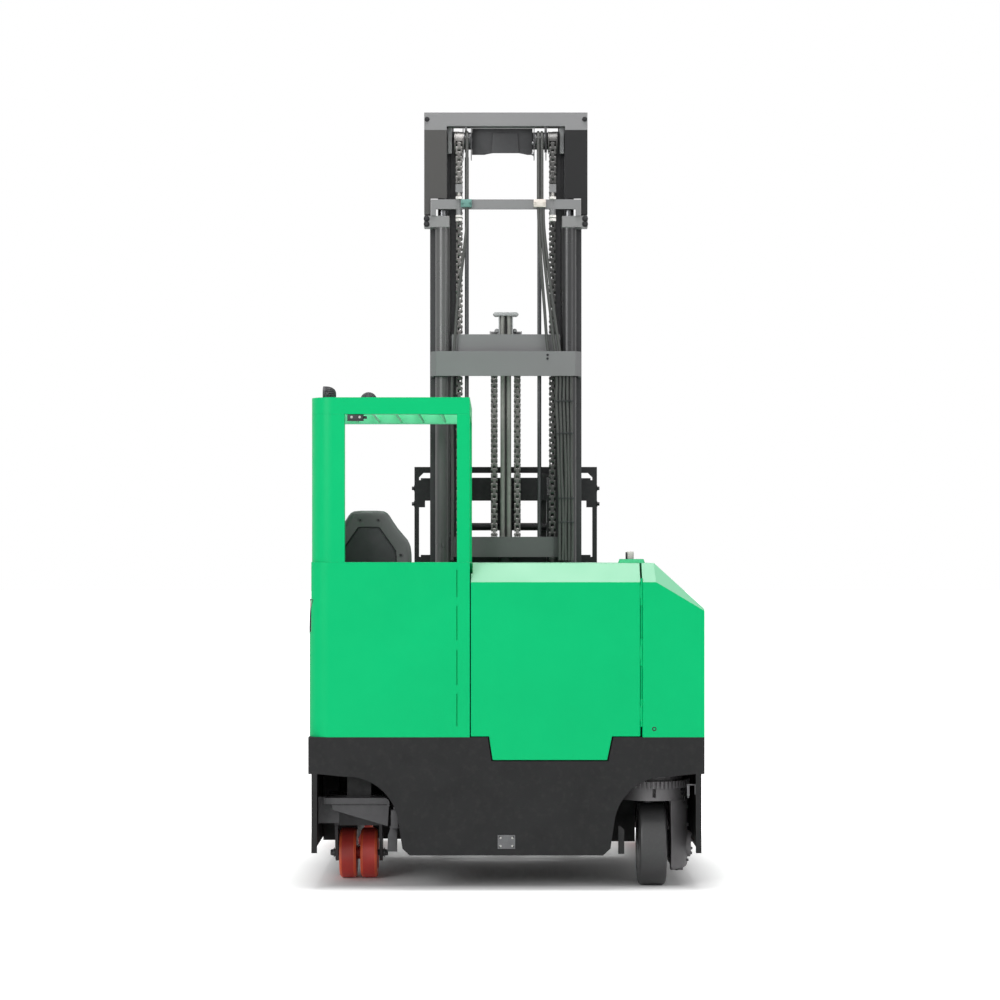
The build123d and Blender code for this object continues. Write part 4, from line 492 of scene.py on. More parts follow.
def chain_piece(name, chain):
    """Detailed runs in place of a chain node."""
    low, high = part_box(chain)
    bm = bmesh.new()
    middle = (low.y + high.y) / 2 - REAR
    for side in (-1, 1):
        add_leaf_chain(bm, side * (high.x - 0.017), middle, low.z, high.z)
    piece = finish_mesh(name, bm, "chain_steel", sharp=40, stands_for=(chain,))
    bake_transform(piece)


for place, way, bodies in (
        ("outer", "up", ("outer_mast", "middle_mast")),
        ("outer", "down", ("inner_mast", "middle_mast")),
        ("centre", "up", ("inner_mast", "crosshead")),
        ("centre", "down", ("lift_carriage", "crosshead"))):
    chain_piece("%s_leaf_chain_%s" % (place, way), "%s_chain_%s" % (place, way))


# Hoses of the mast

HOSE = 0.0075
PIPE_LEFT, PIPE_RIGHT = -0.191, 0.164
PIPE_DEPTH = 1.102
PULLEY_DEPTH, PULLEY_Z, PULLEY_RADIUS = 1.088, 3.522, 0.03
CLAMP_DEPTH, CLAMP_LOW, CLAMP_HIGH = 1.031, 3.183, 3.227
BUNDLE = [0.246 + 0.018 * n for n in range(5)]
BUNDLE_DEPTH = 1.04


def loop_points(x, x_pipe):
    """Over the head's pulley: from behind the anchor bar up, over and down to the pipe's end."""
    reach = PULLEY_RADIUS + HOSE
    arc = [at(x, PULLEY_DEPTH - reach * cos(pi * n / 6), PULLEY_Z + reach * sin(pi * n / 6))
        for n in range(7)]
    return arc + [at(x * 0.4 + x_pipe * 0.6, PIPE_DEPTH + 0.008, 3.475), at(x_pipe, PIPE_DEPTH, 3.43)]


def make_head_hoses():
    """The rear runs ride on no body, the loops stay on the middle mast."""
    runs = bmesh.new()
    loops = bmesh.new()
    pulleys = bmesh.new()
    for x, x_pipe in ((-0.189, PIPE_LEFT), (0.158, PIPE_RIGHT), (0.176, PIPE_RIGHT + 0.012)):
        points = loop_points(x, x_pipe)
        add_tube(loops, points, HOSE, 14, 4)
        add_tube(runs, [at(x, CLAMP_DEPTH, 3.18), at(x, CLAMP_DEPTH + 0.002, 3.28), at(x, 1.045, 3.42),
            points[0]], HOSE, 14, 6)
    piece = finish_mesh("head_hose_runs", runs, "hose_rubber", sharp=60)
    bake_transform(piece)
    finish_mesh("head_hose_loops", loops, "hose_rubber", "middle_mast", sharp=60)
    for low_x, high_x in mm((-207, -171), (140, 194)):
        middle = at(low_x, PULLEY_DEPTH, PULLEY_Z)
        wide = high_x - low_x
        groove = PULLEY_RADIUS - 0.002
        add_lathe(pulleys, middle, RIGHT, [(0.006, 0.002), (0.038, 0.002), (0.038, 0.005), (groove, 0.008),
            (groove, wide - 0.008), (0.038, wide - 0.005), (0.038, wide - 0.002), (0.006, wide - 0.002)], 36)
        add_rod(pulleys, middle - Vector((0.006, 0, 0)), middle + Vector((wide + 0.006, 0, 0)), 0.008, 18)
        for x in (low_x - 0.004, high_x):
            add_plate(pulleys, mm((-22, 63), (-22, -75), (-12, -98), (12, -98), (22, -75), (22, 63)),
                at(x, PULLEY_DEPTH, PULLEY_Z), AHEAD, UP, 0.004, 0.001)
    for z in (3.505, 3.452):
        add_bolt(pulleys, at(0.136, PULLEY_DEPTH - 0.012, z), LEFT, 0.013)
    finish_mesh("head_hose_pulleys", pulleys, "plate_steel", "middle_mast")


def make_hose_clamps():
    """Clamp blocks that hold the hoses on the chain anchor bar."""
    for name, x0, x1, material in (("left_hose_clamp", -0.219, -0.166, clamp_teal),
            ("right_hose_clamp", 0.135, 0.195, clamp_pale)):
        bm = bmesh.new()
        add_block(bm, at(x0, CLAMP_DEPTH - 0.014, CLAMP_LOW + 0.003), at(x1, 1.04, CLAMP_HIGH - 0.003), 0.003)
        for x in (x0 + 0.008, x1 - 0.008):
            add_bolt(bm, at(x, CLAMP_DEPTH - 0.014, (CLAMP_LOW + CLAMP_HIGH) / 2), REARWARD, 0.009,
                socket=True)
        finish_mesh(name, bm, material, "outer_mast")


def make_hose_bundle():
    """Five hoses up the right side. Three of them fan out to the clamp, two end behind the cross member."""
    bm = bmesh.new()
    low = [0.262 + 0.0153 * n for n in range(5)]
    fan = {0: (0.158, 0.206), 1: (0.17, 0.24), 2: (0.182, 0.262)}
    for n, x in enumerate(BUNDLE):
        sway = 0.003 * sin(2.1 * n)
        points = [at(low[n], BUNDLE_DEPTH - 0.006, 1.468), at(low[n] + sway, BUNDLE_DEPTH - 0.004, 1.6),
            at(low[n], BUNDLE_DEPTH - 0.002, 1.767), at(low[n] * 0.7 + x * 0.3 - sway, BUNDLE_DEPTH, 1.92),
            at(low[n] * 0.45 + x * 0.55, BUNDLE_DEPTH - 0.001, 2.083), at(x, BUNDLE_DEPTH, 2.25),
            at(x, BUNDLE_DEPTH, 2.37)]
        if n in fan:
            top, member = fan[n]
            points += [at(member, BUNDLE_DEPTH, 2.49),
                at(member * 0.62 + top * 0.38, BUNDLE_DEPTH - 0.004, 2.7),
                at(member * 0.3 + top * 0.7, BUNDLE_DEPTH - 0.008, 2.9), at(top + 0.004, CLAMP_DEPTH, 3.08),
                at(top, CLAMP_DEPTH, 3.19)]
        else:
            points += [at(x, BUNDLE_DEPTH + 0.001, 2.46)]
        add_tube(bm, points, HOSE, 14, 8)
    # Left hose, from its clamp down behind the cross member and along the mast
    add_tube(bm, [at(-0.189, CLAMP_DEPTH, 3.19), at(-0.192, CLAMP_DEPTH, 3.08),
        at(-0.219, BUNDLE_DEPTH - 0.006, 2.85), at(-0.234, BUNDLE_DEPTH - 0.003, 2.74),
        at(-0.252, BUNDLE_DEPTH, 2.49), at(-0.262, BUNDLE_DEPTH, 2.35), at(-0.262, BUNDLE_DEPTH, 2.1),
        at(-0.259, BUNDLE_DEPTH, 1.8), at(-0.262, BUNDLE_DEPTH, 1.468)], HOSE, 14, 8)
    finish_mesh("outer_hose_bundle", bm, "hose_rubber", "outer_mast", sharp=60, stands_for=("outer_hoses",))
    ties = bmesh.new()
    for z, x0, x1 in ((1.65, 0.253, 0.333), (1.767, 0.253, 0.333), (2.083, 0.245, 0.33),
            (2.24, 0.237, 0.327)):
        for shift, grow in mm((0, 0), (4.5, 1.2)):
            add_block(ties, at(x0 - grow, BUNDLE_DEPTH - 0.011 - grow, z + shift),
                at(x1 + grow, BUNDLE_DEPTH + 0.01, z + shift + 0.0035), 0.001)
        add_block(ties, at(x1 - 0.012, BUNDLE_DEPTH - 0.017, z - 0.001),
            at(x1 - 0.003, BUNDLE_DEPTH - 0.01, z + 0.009), 0.001)
    finish_mesh("hose_ties", ties, finishes["console_plastic"], "outer_mast")
    ends = bmesh.new()
    for x in BUNDLE[3:]:
        add_lathe(ends, at(x, BUNDLE_DEPTH + 0.001, 2.425), UP,
            mm((8.5, 0), (9.5, 4), (9.5, 30), (8.5, 34), (0, 34)), 18)
    add_block(ends, at(0.29, 1.0325, 2.445), at(0.326, 1.052, 2.475), 0.002)
    finish_mesh("hose_end_block", ends, "plate_steel", "outer_mast")


def make_crosshead_hoses():
    """Two hoses that hang from the crosshead's guide, down behind its rod to the collar."""
    bm = bmesh.new()
    for x in (-0.0155, 0.0155):
        add_tube(bm, [at(x, 1.186, 2.672), at(x * 1.15, 1.182, 2.6), at(x, 1.181, 2.45), at(x, 1.181, 2.1),
            at(x, 1.181, 1.8), at(x, 1.181, 1.56)], 0.0112, 16, 8)
    piece = finish_mesh("crosshead_hoses", bm, hose_pale, sharp=60)
    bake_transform(piece)
    guide = bmesh.new()
    add_plate(guide, mm((-63, 0), (-54, 9), (54, 9), (63, 0), (54, -9), (-54, -9)), at(0, 1.168, 2.681),
        RIGHT, UP, -0.075, 0.002)
    for side in (-1, 1):
        add_plate(guide, mm((-12, 0), (-12, -110), (14, -110), (20, 0)),
            at(side * 0.0325 - 0.003, 1.187, 2.675), AHEAD, UP, 0.006, 0.001)
        add_bolt(guide, at(side * 0.081, 1.237, 2.54), (side, 0, 0), 0.02)
        add_bolt(guide, at(side * 0.044, 1.213, 2.6), REARWARD, 0.014)
    finish_mesh("crosshead_guide", guide, guide_pale, "crosshead")


clamp_teal = surface("clamp_teal", (96, 140, 132), rough=0.5, mottle=0.08, patch=40, grain=900, depth=0.2,
    edge=0.001)
clamp_pale = surface("clamp_pale", (214, 206, 198), rough=0.5, mottle=0.06, patch=40, grain=900, depth=0.2,
    edge=0.001)
guide_pale = surface("guide_pale", (168, 170, 170), metal=0.3, rough=0.45, mottle=0.12, patch=40, edge=0.001)
hose_pale = surface("hose_pale", (138, 139, 134), rough=0.5, mottle=0.1, patch=40, grain=900, depth=0.3,
    edge=0.0)
make_head_hoses()
make_hose_clamps()
make_hose_bundle()
make_crosshead_hoses()


# Mast and carriage fittings

def make_anchor_nuts():
    """Threads, nuts and lock nuts at the ends of the outer chains."""
    bm = bmesh.new()
    for side in (-1, 1):
        place = at(side * 0.228, 1.046, 0)
        for low, high, radius in ((3.119, 3.134, 0.0185), (3.137, 3.15, 0.0185), (3.226, 3.24, 0.0185)):
            add_lathe(bm, place + Vector((0, 0, low)), UP,
                [(0.0085, 0), (radius * 0.92, 0), (radius, 0.002), (radius, high - low - 0.002),
                (radius * 0.92, high - low), (0.0085, high - low)], 6)
        for n in range(9):
            add_lathe(bm, place + Vector((0, 0, 3.2405 + 0.002 * n)), UP, mm((7.8, 0), (8.9, 1), (7.8, 2)),
                16)
    finish_mesh("chain_anchor_nuts", bm, bright_nut, "outer_mast", sharp=25)


def make_mast_bolts():
    """Bolts of the clamps, the cross member, the backrest, the collar and the head."""
    for name, spots, direction, body, across, material in (
            ("clamp_bolts", [(s * 0.386, 1.05, z) for s in (-1, 1) for z in (3.107, 3.133)],
             REARWARD, "outer_mast", 0.017, dark_bolt),
            ("member_bolts", [(0.2027, 1.018, z) for z in (2.449, 2.467)],
             REARWARD, "outer_mast", 0.007, dark_bolt),
            ("backrest_bolts_right", [(0.457, 1.389, z) for z in (1.75, 1.828)],
             RIGHT, "fork_carriage", 0.018, dark_bolt),
            ("backrest_bolts_left", [(-0.457, 1.389, z) for z in (1.75, 1.828)],
             LEFT, "fork_carriage", 0.018, dark_bolt),
            ("collar_bolts", [(s * 0.04, 1.177, z) for s in (-1, 1) for z in (1.513, 1.547)],
             REARWARD, "inner_mast", 0.013, bolt_steel),
            ("head_bolts", [(s * 0.384, 1.05, 3.618) for s in (-1, 1)],
             REARWARD, "middle_mast", 0.014, dark_bolt)):
        bm = bmesh.new()
        for spot in spots:
            add_bolt(bm, at(*spot), direction, across)
        finish_mesh(name, bm, material, body, sharp=25)


def make_welds(name, body, runs):
    """Weld beads where a cross member meets its channels, on both sides of the mast."""
    bm = bmesh.new()
    for low, high, x, depth in runs:
        for side in (-1, 1):
            for n in range(int((high - low) / 0.007)):
                add_lathe(bm, at(side * x, depth, low + n * 0.007), UP,
                    mm((0, 0), (3.4, 2.2), (3.8, 5), (0, 8)), 7)
    finish_mesh(name, bm, "member_paint", body)


def make_tilt_details():
    """Caps on the pins of the two tilt cylinders, with grease nipples above them."""
    bm = bmesh.new()
    for side in (-1, 1):
        add_lathe(bm, at(side * 0.262, 1.326, 1.635), (side, 0, 0),
            mm((0, 0), (24, 0), (25, 2), (25, 6), (12, 9), (0, 9)), 28)
        add_lathe(bm, at(side * 0.24, 1.326, 1.6645), UP, mm((6, 0), (6, 4), (3, 6), (3.5, 10), (0, 11)), 12)
    finish_mesh("tilt_pin_caps", bm, "plate_steel", "lift_carriage")


def make_fork_details():
    """Upper and lower hooks of the forks, their latch pins and socket bolts."""
    hooks = bmesh.new()
    pins = bmesh.new()
    for side in (-1, 1):
        x = side * 0.23
        for low, high in mm((1879, 1905), (1345, 1371)):
            add_block(hooks, at(x - 0.052, 1.3805, low), at(x + 0.052, 1.4005, high), 0.003)
        add_lathe(pins, at(x, 1.4205, 1.909), UP, mm((4, -1), (11, -1), (12, 1), (12, 12), (7, 14), (7, 22),
            (10, 24), (10, 31), (0, 32)), 20)
        for z in (1.44, 1.82):
            add_bolt(pins, at(x, 1.4455, z), AHEAD, 0.016, socket=True)
    finish_mesh("fork_hooks", hooks, "fork_steel", "fork_carriage")
    finish_mesh("fork_latches", pins, bolt_steel, "fork_carriage", sharp=25)


def make_wear_strips():
    """Sliding strips of the side shift, between the tilt frame and the backrest's bars."""
    bm = bmesh.new()
    for side in (-1, 1):
        for z in (1.771, 1.483):
            add_block(bm, at(side * 0.26 - 0.055, 1.3635, z - 0.012),
                at(side * 0.26 + 0.055, 1.3779, z + 0.006), 0.002)
    finish_mesh("slide_strips", bm, finishes["console_plastic"], "tilt_frame")


bright_nut = surface("bright_nut", (206, 204, 200), metal=0.6, rough=0.35, mottle=0.15, patch=60, grain=900,
    depth=0.1, edge=0.0)
make_anchor_nuts()
make_mast_bolts()
make_welds("outer_member_welds", "outer_mast", ((2.372, 2.478, 0.3675, 1.149),))
make_welds("middle_member_welds", "middle_mast",
    ((1.49, 1.578, 0.3165, 1.138), (2.457, 2.565, 0.3165, 1.138)))
make_tilt_details()
make_fork_details()
make_wear_strips()


# Head of the mast

def make_head_pieces():
    """Under the head's bar: guide blocks at the channels, closing strips and the arched plate of the beam."""
    guides = bmesh.new()
    strips = bmesh.new()
    for side in (-1, 1):
        x0, x1 = sorted((side * 0.264, side * 0.2835))
        add_block(guides, at(x0, 1.098, 3.459), at(x1, 1.1145, 3.5845), 0.0015)
        x0, x1 = sorted((side * 0.2555, side * 0.263))
        add_block(strips, at(x0, 1.1035, 3.54), at(x1, 1.1155, 3.5845), 0.001)
    finish_mesh("head_guides", guides, guide_pale, "middle_mast")
    low, rise = 3.456, 0.011
    arch = [(-0.166, low), (-0.105, low)]
    arch += [(-0.088 + 0.176 * n / 10, low + 0.004 + rise * sin(pi * n / 10)) for n in range(11)]
    arch += [(0.105, low), (0.131, low), (0.131, 3.584), (-0.166, 3.584)]
    add_plate(strips, arch, at(0, 1.1165, 0), RIGHT, UP, -0.01, 0.001)
    swell = mm((-70, 3462), (64, 3462), (58, 3560), (-64, 3560))
    add_plate(strips, swell, at(0, 1.1068, 0), RIGHT, UP, -0.005, 0.002)
    finish_mesh("head_beam_plate", strips, "mast_paint", "middle_mast")


def make_lip_strips():
    """Wear strips on the lips of the middle channels, which close the gap beside the inner ones."""
    bm = bmesh.new()
    for side in (-1, 1):
        a, b = sorted((side * 0.2713, side * 0.2752))
        for depth in (1.151, 1.275):
            add_block(bm, at(a, depth, 0.16), at(b, depth + 0.014, 3.58), 0.0006)
    finish_mesh("channel_lip_strips", bm, "mast_paint", "middle_mast")


make_head_pieces()
make_lip_strips()


# Seat

SEAT_X = -0.6265
FILL_FRAMES = 20
BACK_RIGHT = mm((0, 1696.5), (40, 1696.5), (70, 1693.5), (88, 1683), (105, 1655), (130, 1618), (155, 1588),
    (178, 1561), (189, 1537), (194, 1500), (195, 1440), (194, 1200), (188, 1020), (165, 950), (120, 930),
    (0, 928))
PANEL_RIGHT = mm((0, 1620.6), (47.5, 1620.6), (123.2, 1512.7), (126, 1460), (126, 1100), (118, 1050),
    (0, 1045))


def mirrored(right):
    """A closed outline from its right half, listed from the middle of the top to the middle of the bottom."""
    return right + [(-u, v) for u, v in right[-2:0:-1]]


def evened(points, count):
    """The closed outline at evenly spaced points, from its first point on."""
    path = [Vector(p) for p in points + points[:1]]
    lengths = [(b - a).length for a, b in zip(path, path[1:])]
    step = sum(lengths) / count
    made, n, gone = [], 0, 0.0
    for k in range(count):
        while gone + lengths[n] < k * step - 1e-9:
            gone += lengths[n]
            n += 1
        made.append(path[n].lerp(path[n + 1], (k * step - gone) / lengths[n]))
    return made


def shrunk(points, inset):
    """The outline moved inwards along its normals."""
    made = []
    for n, point in enumerate(points):
        ahead = points[(n + 1) % len(points)] - points[n - 1]
        made.append(point + Vector((-ahead.y, ahead.x)).normalized() * -inset)
    return made


def bridge(bm, first, second):
    for n in range(len(first)):
        m = (n + 1) % len(first)
        bm.faces.new((first[n], first[m], second[m], second[n]))


def make_back_shell():
    """Moulded shell of the back: a rounded rim, a dark tube as painted shade in the groove round the panel,
    and screws in their cups.
    """
    rim = evened(mirrored(BACK_RIGHT), 120)
    panel = evened(mirrored(PANEL_RIGHT), 120)
    bm = bmesh.new()
    rings = []
    for points, inset, depth in ((rim, 0.006, 0.3045), (rim, 0.0, 0.3), (rim, 0.0, 0.288),
            (rim, 0.002, 0.276), (rim, 0.008, 0.2665), (rim, 0.018, 0.2625), (rim, 0.026, 0.2635),
            (panel, -0.006, 0.2665), (panel, -0.002, 0.2675), (panel, -0.0005, 0.276), (panel, 0.003, 0.276),
            (panel, 0.0045, 0.269), (panel, 0.012, 0.2675)):
        rings.append([bm.verts.new(at(SEAT_X + p.x, depth, p.y)) for p in shrunk(points, inset)])
    for first, second in zip(rings, rings[1:]):
        bridge(bm, first, second)
    bm.faces.new(rings[0])
    bm.faces.new(list(reversed(rings[-1])))
    sunk = bmesh.new()
    add_plate(sunk, [(p.x, p.y) for p in shrunk(panel, 0.0055)], at(SEAT_X, 0.269, 0), RIGHT, UP, 0.0022,
        0.0006)
    # Painted shade: a dark tube fills the groove round the panel.
    groove = bmesh.new()
    round_panel = [at(SEAT_X + p.x, 0.2705, p.y) for p in shrunk(panel, 0.0018)]
    add_tube(groove, round_panel + round_panel[:1], 0.0036, 8, 1)
    finish_mesh("seat_back_groove_shade", groove, dark_bolt, "chassis")
    finish_mesh("seat_back_panel", sunk, finishes["console_plastic"], "chassis")
    finish_mesh("seat_back_shell", bm, "seat_shell", "chassis", sharp=50, stands_for=("seat_back",))
    rings = bmesh.new()
    screws = bmesh.new()
    for x, z in mm((-665, 1653), (-583, 1653), (-479.5, 1494), (-773.5, 1494), (-479.5, 1200),
            (-773.5, 1200)):
        add_lathe(rings, at(x, 0.2655, z), REARWARD,
            mm((6.5, -4), (6.8, 1.2), (8.5, 2), (9.8, 1.2), (10, -2)), 28)
        add_bolt(screws, at(x, 0.2665, z), REARWARD, 0.009, socket=True)
    finish_mesh("seat_screw_cups", rings, "seat_shell", "chassis")
    finish_mesh("seat_screws", screws, dark_bolt, "chassis", sharp=25)


def pad_form(name, outline, place, layers):
    """Closed form of a pad before it is filled: rings of the outline at rising heights."""
    bm = bmesh.new()
    rings = []
    for inset, height in layers:
        rings.append([bm.verts.new(place(p.x, p.y, height)) for p in shrunk(outline, inset)])
    for first, second in zip(rings, rings[1:]):
        bridge(bm, first, second)
    bm.faces.new(list(reversed(rings[0])))
    bm.faces.new(rings[-1])
    return finish_mesh(name, bm, finishes["seat_pad"], sharp=75)


def held_points(mesh, seams, reach):
    """Numbers of the points near a sewn line."""
    tree = kdtree.KDTree(sum(len(line) for line in seams))
    n = 0
    for line in seams:
        for point in line:
            tree.insert(point, n)
            n += 1
    tree.balance()
    return [v.index for v in mesh.vertices if tree.find(v.co)[2] < reach]


def settled(piece):
    """The mesh that a piece's modifiers make. They are taken off."""
    mesh = bpy.data.meshes.new_from_object(piece.evaluated_get(bpy.context.evaluated_depsgraph_get()))
    piece.modifiers.clear()
    return mesh


def fill_pad(piece, seams, cap, voxel=0.006):
    """Remeshes the form and swells it as a filled cover does, held along its sewn lines."""
    scene = bpy.context.scene
    remesh = piece.modifiers.new("remesh", "REMESH")
    remesh.mode = "VOXEL"
    remesh.voxel_size = voxel
    remesh.use_smooth_shade = True
    mesh = piece.data = settled(piece)
    held = piece.vertex_groups.new(name="held")
    held.add(held_points(mesh, seams, voxel * 1.1), 1.0, "REPLACE")
    before = [v.co.copy() for v in mesh.vertices]
    cloth = piece.modifiers.new("cover", "CLOTH")
    settings = cloth.settings
    for name, value in (("quality", 6), ("mass", 0.25), ("tension_stiffness", 12),
            ("compression_stiffness", 12), ("bending_stiffness", 1.5), ("use_pressure", True),
            ("uniform_pressure_force", 4.0)):
        setattr(settings, name, value)
    settings.effector_weights.gravity = 0.0
    settings.vertex_group_mass = "held"
    cloth.point_cache.frame_start = 1
    cloth.point_cache.frame_end = FILL_FRAMES
    for n in range(1, FILL_FRAMES + 1):
        scene.frame_set(n)
    filled = settled(piece)
    for v, was in zip(filled.vertices, before):
        move = v.co - was
        if move.length > cap:
            v.co = was + move * (cap / move.length)
    piece.data = filled
    scene.frame_set(1)


def smooth_pad(piece):
    """One subdivision, made final."""
    more = piece.modifiers.new("finer", "SUBSURF")
    more.levels = 1
    mesh = piece.data = settled(piece)
    for face in mesh.polygons:
        face.use_smooth = True


def sew(name, piece, lines, radius):
    """Piping and stitches laid on the pad along the lines, each a list of points near its surface."""
    tree = bvhtree.BVHTree.FromObject(piece, bpy.context.evaluated_depsgraph_get())
    cord = bmesh.new()
    stitches = bmesh.new()
    for line in lines:
        path = []
        for point in smooth_path(line, 6):
            path.append(tree.find_nearest(point)[:2])
        add_tube(cord, [place for place, normal in path], radius, 8, 0)
        for (a, up), (b, _) in zip(path, path[1:]):
            count = max(1, round((b - a).length / 0.007))
            ahead = (b - a).normalized()
            side = ahead.cross(up).normalized()
            for n in range(count):
                for way in (-1, 1):
                    middle = a.lerp(b, (n + 0.5) / count) + side * way * 0.007 + up * 0.0004
                    place, normal = tree.find_nearest(middle)[:2]
                    add_rod(stitches, place - ahead * 0.0021 + normal * 0.0003,
                        place + ahead * 0.0021 + normal * 0.0003, 0.0006, 6)
    finish_mesh(name + "_piping", cord, finishes["seat_pad"], "chassis", sharp=60)
    finish_mesh(name + "_stitches", stitches, seam_thread, "chassis", sharp=60)


def finish_pad(pad, name, edge, inner, cap, radius, voxel=0.006, stands_for=()):
    """Fills a pad between its sewn lines, then sews it along its edge and its inner lines."""
    fill_pad(pad, [edge] + inner, cap, voxel)
    smooth_pad(pad)
    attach(pad, "chassis")
    if stands_for:
        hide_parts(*stands_for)
    sew(name, pad, [edge + edge[:1]] + inner, radius)


def make_pads():
    """Seat cushion and pad of the back, filled and sewn."""
    def on_seat(u, v, w):
        return at(SEAT_X + u, 0.565 + v, w)

    def on_back(u, v, w):
        return at(SEAT_X + u, w, v)

    right = mm((0, 185), (120, 185), (165, 178), (190, 150), (194, 80), (194, -100), (186, -160), (150, -186),
        (0, -188))
    outline = evened(mirrored(right), 96)
    cushion = pad_form("seat_cushion_pad", outline, on_seat,
        mm((20, 903.5), (6, 903.5), (0, 912), (0, 942), (4, 962), (16, 978), (45, 986)))
    edge = [on_seat(p.x, p.y, 0.944) for p in outline]
    channels = [[on_seat(-0.12 + 0.02 * n, v, 0.986) for n in range(13)] for v in (-0.085, 0.0, 0.085)]
    sides = [[on_seat(s * 0.126, -0.15 + 0.02 * n, 0.986) for n in range(16)] for s in (-1, 1)]
    finish_pad(cushion, "seat_cushion", edge, channels + sides, 0.018, 0.002,
        stands_for=("seat_cushion",))

    right = mm((0, 1668), (50, 1666), (74, 1650), (104, 1606), (150, 1550), (164, 1500), (168, 1400),
        (168, 1150), (158, 1060), (120, 1036), (0, 1034))
    outline = evened(mirrored(right), 96)
    pad = pad_form("seat_back_pad", outline, on_back,
        mm((12, 305.2), (3, 305.2), (0, 311), (0, 326), (4, 338), (16, 346), (40, 350)))
    edge = [on_back(p.x, p.y, 0.327) for p in outline]
    channels = [[on_back(-0.1 + 0.02 * n, z, 0.35) for n in range(11)] for z in (1.17, 1.28, 1.39)]
    sides = [[on_back(s * (0.105 - 0.035 * max(0.0, (z - 1.45) / 0.15)), z, 0.35)
        for z in [1.09 + 0.02 * n for n in range(26)]] for s in (-1, 1)]
    finish_pad(pad, "seat_back", edge, channels + sides, 0.013, 0.002)


make_back_shell()
make_pads()


# Wheels and what carries them

CASTOR_X, CASTOR_DEPTH, CASTOR_Z = -0.681, 0.468, 0.115
LOAD_X, LOAD_DEPTH, LOAD_Z = 0.731, 1.75, 0.125
DRIVE_X, DRIVE_DEPTH, DRIVE_Z = 0.658, 0.23, 0.185
CASING = 0.16         # radius of the drive unit's casing


def make_castor_details():
    """Weld and bracket of the castor's shelf, near-black walls in the wheel houses as painted shade, axle
    nuts, rims, and tread edges painted paler as a painted highlight.
    """
    welds = bmesh.new()
    for n in range(27):
        add_lathe(welds, at(-0.784 + 0.0092 * n, 0.0905 + 0.0006 * sin(5.1 * n),
            0.3765 + 0.0008 * sin(3.7 * n)), (1, 0, 0.1 * sin(2.3 * n)),
            [(0, 0), (0.0035, 0.002), (0.0045 + 0.0008 * sin(4.3 * n), 0.006), (0.003, 0.01), (0, 0.0115)], 9)
    finish_mesh("shelf_weld", welds, "casting_grey", "chassis")
    iron = bmesh.new()
    add_block(iron, at(-0.517, 0.06, 0.27), at(-0.484, 0.1, 0.352), 0.003)
    add_block(iron, at(-0.522, 0.064, 0.27), at(-0.48, 0.09, 0.283), 0.003)
    add_block(iron, at(-0.506, 0.07, 0.35), at(-0.494, 0.09, 0.366), 0.003)
    add_lathe(iron, at(-0.484, 0.076, 0.3), RIGHT, mm((16, 0), (16, 6), (11, 8), (11, 22), (14, 24), (14, 31),
        (0, 33)), 18)
    add_block(iron, at(-0.8195, 0.08, 0.377), at(-0.8125, 0.086, 0.406), 0.001)
    add_plate(iron, mm((-534, 162), (-490, 162), (-490, 268), (-520, 268), (-532, 235)), at(0, 0.102, 0),
        RIGHT, UP, -0.006, 0.002)
    finish_mesh("shelf_bracket", iron, "casting_grey", "chassis")
    # Painted shade: near-black walls where the wheel houses lie in shade.
    walls = bmesh.new()
    add_plate(walls, mm((-625, 160), (-452, 160), (-452, 500), (-625, 500)), at(0, 0.624, 0), RIGHT, UP,
        -0.008, 0.002)
    add_plate(walls, mm((430, 160), (600, 160), (600, 500), (430, 500)), at(0, 0.516, 0), RIGHT, UP, -0.008,
        0.002)
    add_plate(walls, mm((499, 160), (526, 160), (526, 268), (508, 285), (499, 285)), at(0, 0.03, 0), RIGHT,
        UP, -0.006, 0.001)
    finish_mesh("wheel_house_shade_walls", walls, shade_black, "chassis")
    caps = bmesh.new()
    for side in (-1, 1):
        out = side * 0.1135
        add_lathe(caps, at(CASTOR_X + out, CASTOR_DEPTH, CASTOR_Z), (side, 0, 0),
            mm((16.5, -4), (17.5, 0), (17.5, 3), (11, 4)), 24)
        add_bolt(caps, at(CASTOR_X + out + side * 0.001, CASTOR_DEPTH, CASTOR_Z), (side, 0, 0), 0.026)
    finish_mesh("castor_axle_nuts", caps, bolt_steel, "castor_fork", sharp=25)
    # Painted highlight: paler orange rings on the rounded edges of the treads.
    for name, body, x, depth, radius, halves in (
            ("castor_tread_edges", "castor_wheels", CASTOR_X, CASTOR_DEPTH, CASTOR_Z,
             mm((-87, -10), (10, 87))),
            ("left_tread_edges", "left_load_wheel", -LOAD_X, LOAD_DEPTH, LOAD_Z, ((-0.05, 0.05),)),
            ("right_tread_edges", "right_load_wheel", LOAD_X, LOAD_DEPTH, LOAD_Z, ((-0.05, 0.05),))):
        bm = bmesh.new()
        for low, high in halves:
            for end, way in ((low, 1), (high, -1)):
                add_lathe(bm, at(x + end, depth, radius), (way, 0, 0),
                    [(radius - 0.011, 0.0004), (radius - 0.0095, -0.0002), (radius - 0.0005, 0.0088),
                    (radius + 0.0001, 0.0104), (radius + 0.0001, 0.012), (radius - 0.002, 0.0125)], 72)
        finish_mesh(name, bm, tread_highlight, body, sharp=60)
    hubs = bmesh.new()
    for side in (-1, 1):
        a, b = sorted((side * 0.079, side * 0.0815))
        add_lathe(hubs, at(CASTOR_X + a, CASTOR_DEPTH, CASTOR_Z), RIGHT,
            [(0.04, 0), (0.074, 0), (0.074, b - a), (0.04, b - a)], 48)
    finish_mesh("castor_rim_rings", hubs, "plate_steel", "castor_wheels")


